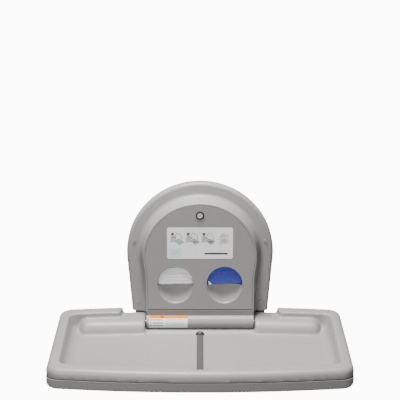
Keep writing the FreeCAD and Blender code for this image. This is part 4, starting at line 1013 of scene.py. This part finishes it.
def soft_light(name, place, aim, size, power):
    data = bpy.data.lights.new(name, "AREA")
    data.shape = "RECTANGLE"
    data.size, data.size_y = size
    data.energy = power
    obj = bpy.data.objects.new(name, data)
    obj.location = place
    obj.rotation_euler = (Vector(aim) - Vector(place)).to_track_quat("-Z", "Y").to_euler()
    bpy.context.scene.collection.objects.link(obj)


def floor_paint(glow):
    """Pale matt paint that the camera sees as an even white sweep."""
    paint = bpy.data.materials.new("floor_paint")
    paint.use_nodes = True
    tree = paint.node_tree
    shader = tree.nodes["Principled BSDF"]
    shader.inputs["Base Color"].default_value = (0.3, 0.3, 0.3, 1)
    shader.inputs["Roughness"].default_value = 0.9
    shader.inputs["Emission Color"].default_value = (1, 1, 1, 1)
    path = add(tree, "ShaderNodeLightPath")
    lit = add(tree, "ShaderNodeMath", [(0, path.outputs["Is Camera Ray"])], operation="MULTIPLY")
    lit.inputs[1].default_value = glow
    tree.links.new(lit.outputs[0], shader.inputs["Emission Strength"])
    return paint


def dress_world(tree, backdrop, fill):
    """A backdrop that is bright to the camera and a dimmer fill on the object."""
    seen = tree.nodes["Background"]
    seen.inputs[0].default_value = (1, 1, 1, 1)
    seen.inputs[1].default_value = backdrop
    soft = add(tree, "ShaderNodeBackground")
    soft.inputs[0].default_value = (0.96, 0.98, 1, 1)
    soft.inputs[1].default_value = fill
    path = add(tree, "ShaderNodeLightPath")
    both = add(tree, "ShaderNodeMixShader", [(0, path.outputs["Is Camera Ray"]), (1, soft.outputs[0]),
                                             (2, seen.outputs[0])])
    tree.links.new(both.outputs[0], tree.nodes["World Output"].inputs[0])


class STATION_OT_stage(bpy.types.Operator):
    """Pale floor, soft studio light and the camera"""

    bl_idname = "station.stage"
    bl_label = "Stage"

    def execute(self, context):
        stage = context.scene.stage_sizes
        bm = bmesh.new()
        bmesh.ops.create_grid(bm, x_segments=1, y_segments=1, size=20,
                              matrix=Matrix.Translation((0, 0, -stage.floor_drop)))
        floor = bpy.data.objects.new("floor", to_mesh(bm, "floor"))
        context.scene.collection.objects.link(floor)
        floor.data.materials.append(floor_paint(stage.backdrop))
        world = bpy.data.worlds.new("studio")
        context.scene.world = world
        world.use_nodes = True
        dress_world(world.node_tree, stage.backdrop, stage.fill)
        soft_light("overhead", (-0.2, -0.35, 2.2), (0, -0.2, -0.1), (0.8, 0.5), 165)
        soft_light("front", (-1.2, -3.4, 1.3), (0, 0, 0), (1.4, 1.0), 68)
        camera_data = bpy.data.cameras.new("camera")
        camera_data.lens = stage.camera_lens
        camera_data.sensor_width = 36
        camera = bpy.data.objects.new("camera", camera_data)
        camera.location = (0, -stage.camera_back, stage.camera_height)
        camera.rotation_euler = (math.pi / 2 - stage.camera_pitch, 0, 0)
        context.scene.collection.objects.link(camera)
        context.scene.camera = camera
        return {"FINISHED"}


class STATION_OT_finishes(bpy.types.Operator):
    """Make every finish and put it on the carried-over nodes"""

    bl_idname = "station.finishes"
    bl_label = "Finishes"

    def execute(self, context):
        make_finishes()
        dress_nodes()
        return {"FINISHED"}


OPERATORS = (STATION_OT_finishes, STATION_OT_bed_tray, STATION_OT_strap, STATION_OT_refined,
             STATION_OT_liners, STATION_OT_labels, STATION_OT_stage)


class STATION_PT_panel(bpy.types.Panel):
    """Sidebar panel that lists every piece"""

    bl_idname = "STATION_PT_panel"
    bl_label = "Changing station"
    bl_space_type = "VIEW_3D"
    bl_region_type = "UI"
    bl_category = "Changing station"

    def draw(self, context):
        for operator in OPERATORS:
            self.layout.operator(operator.bl_idname)


GROUPS = {"bed_sizes": BedSizes, "station_colours": Colours, "stage_sizes": StageSizes}


def register():
    for name, kind in GROUPS.items():
        bpy.utils.register_class(kind)
        setattr(bpy.types.Scene, name, PointerProperty(type=kind))
    for kind in (*OPERATORS, STATION_PT_panel):
        bpy.utils.register_class(kind)


def unregister():
    for kind in reversed((*OPERATORS, STATION_PT_panel)):
        bpy.utils.unregister_class(kind)
    for name, kind in GROUPS.items():
        delattr(bpy.types.Scene, name)
        bpy.utils.unregister_class(kind)


def main():
    register()
    for operator in OPERATORS:
        category, name = operator.bl_idname.split(".")
        getattr(getattr(bpy.ops, category), name)()


if __name__ == "__main__":
    main()
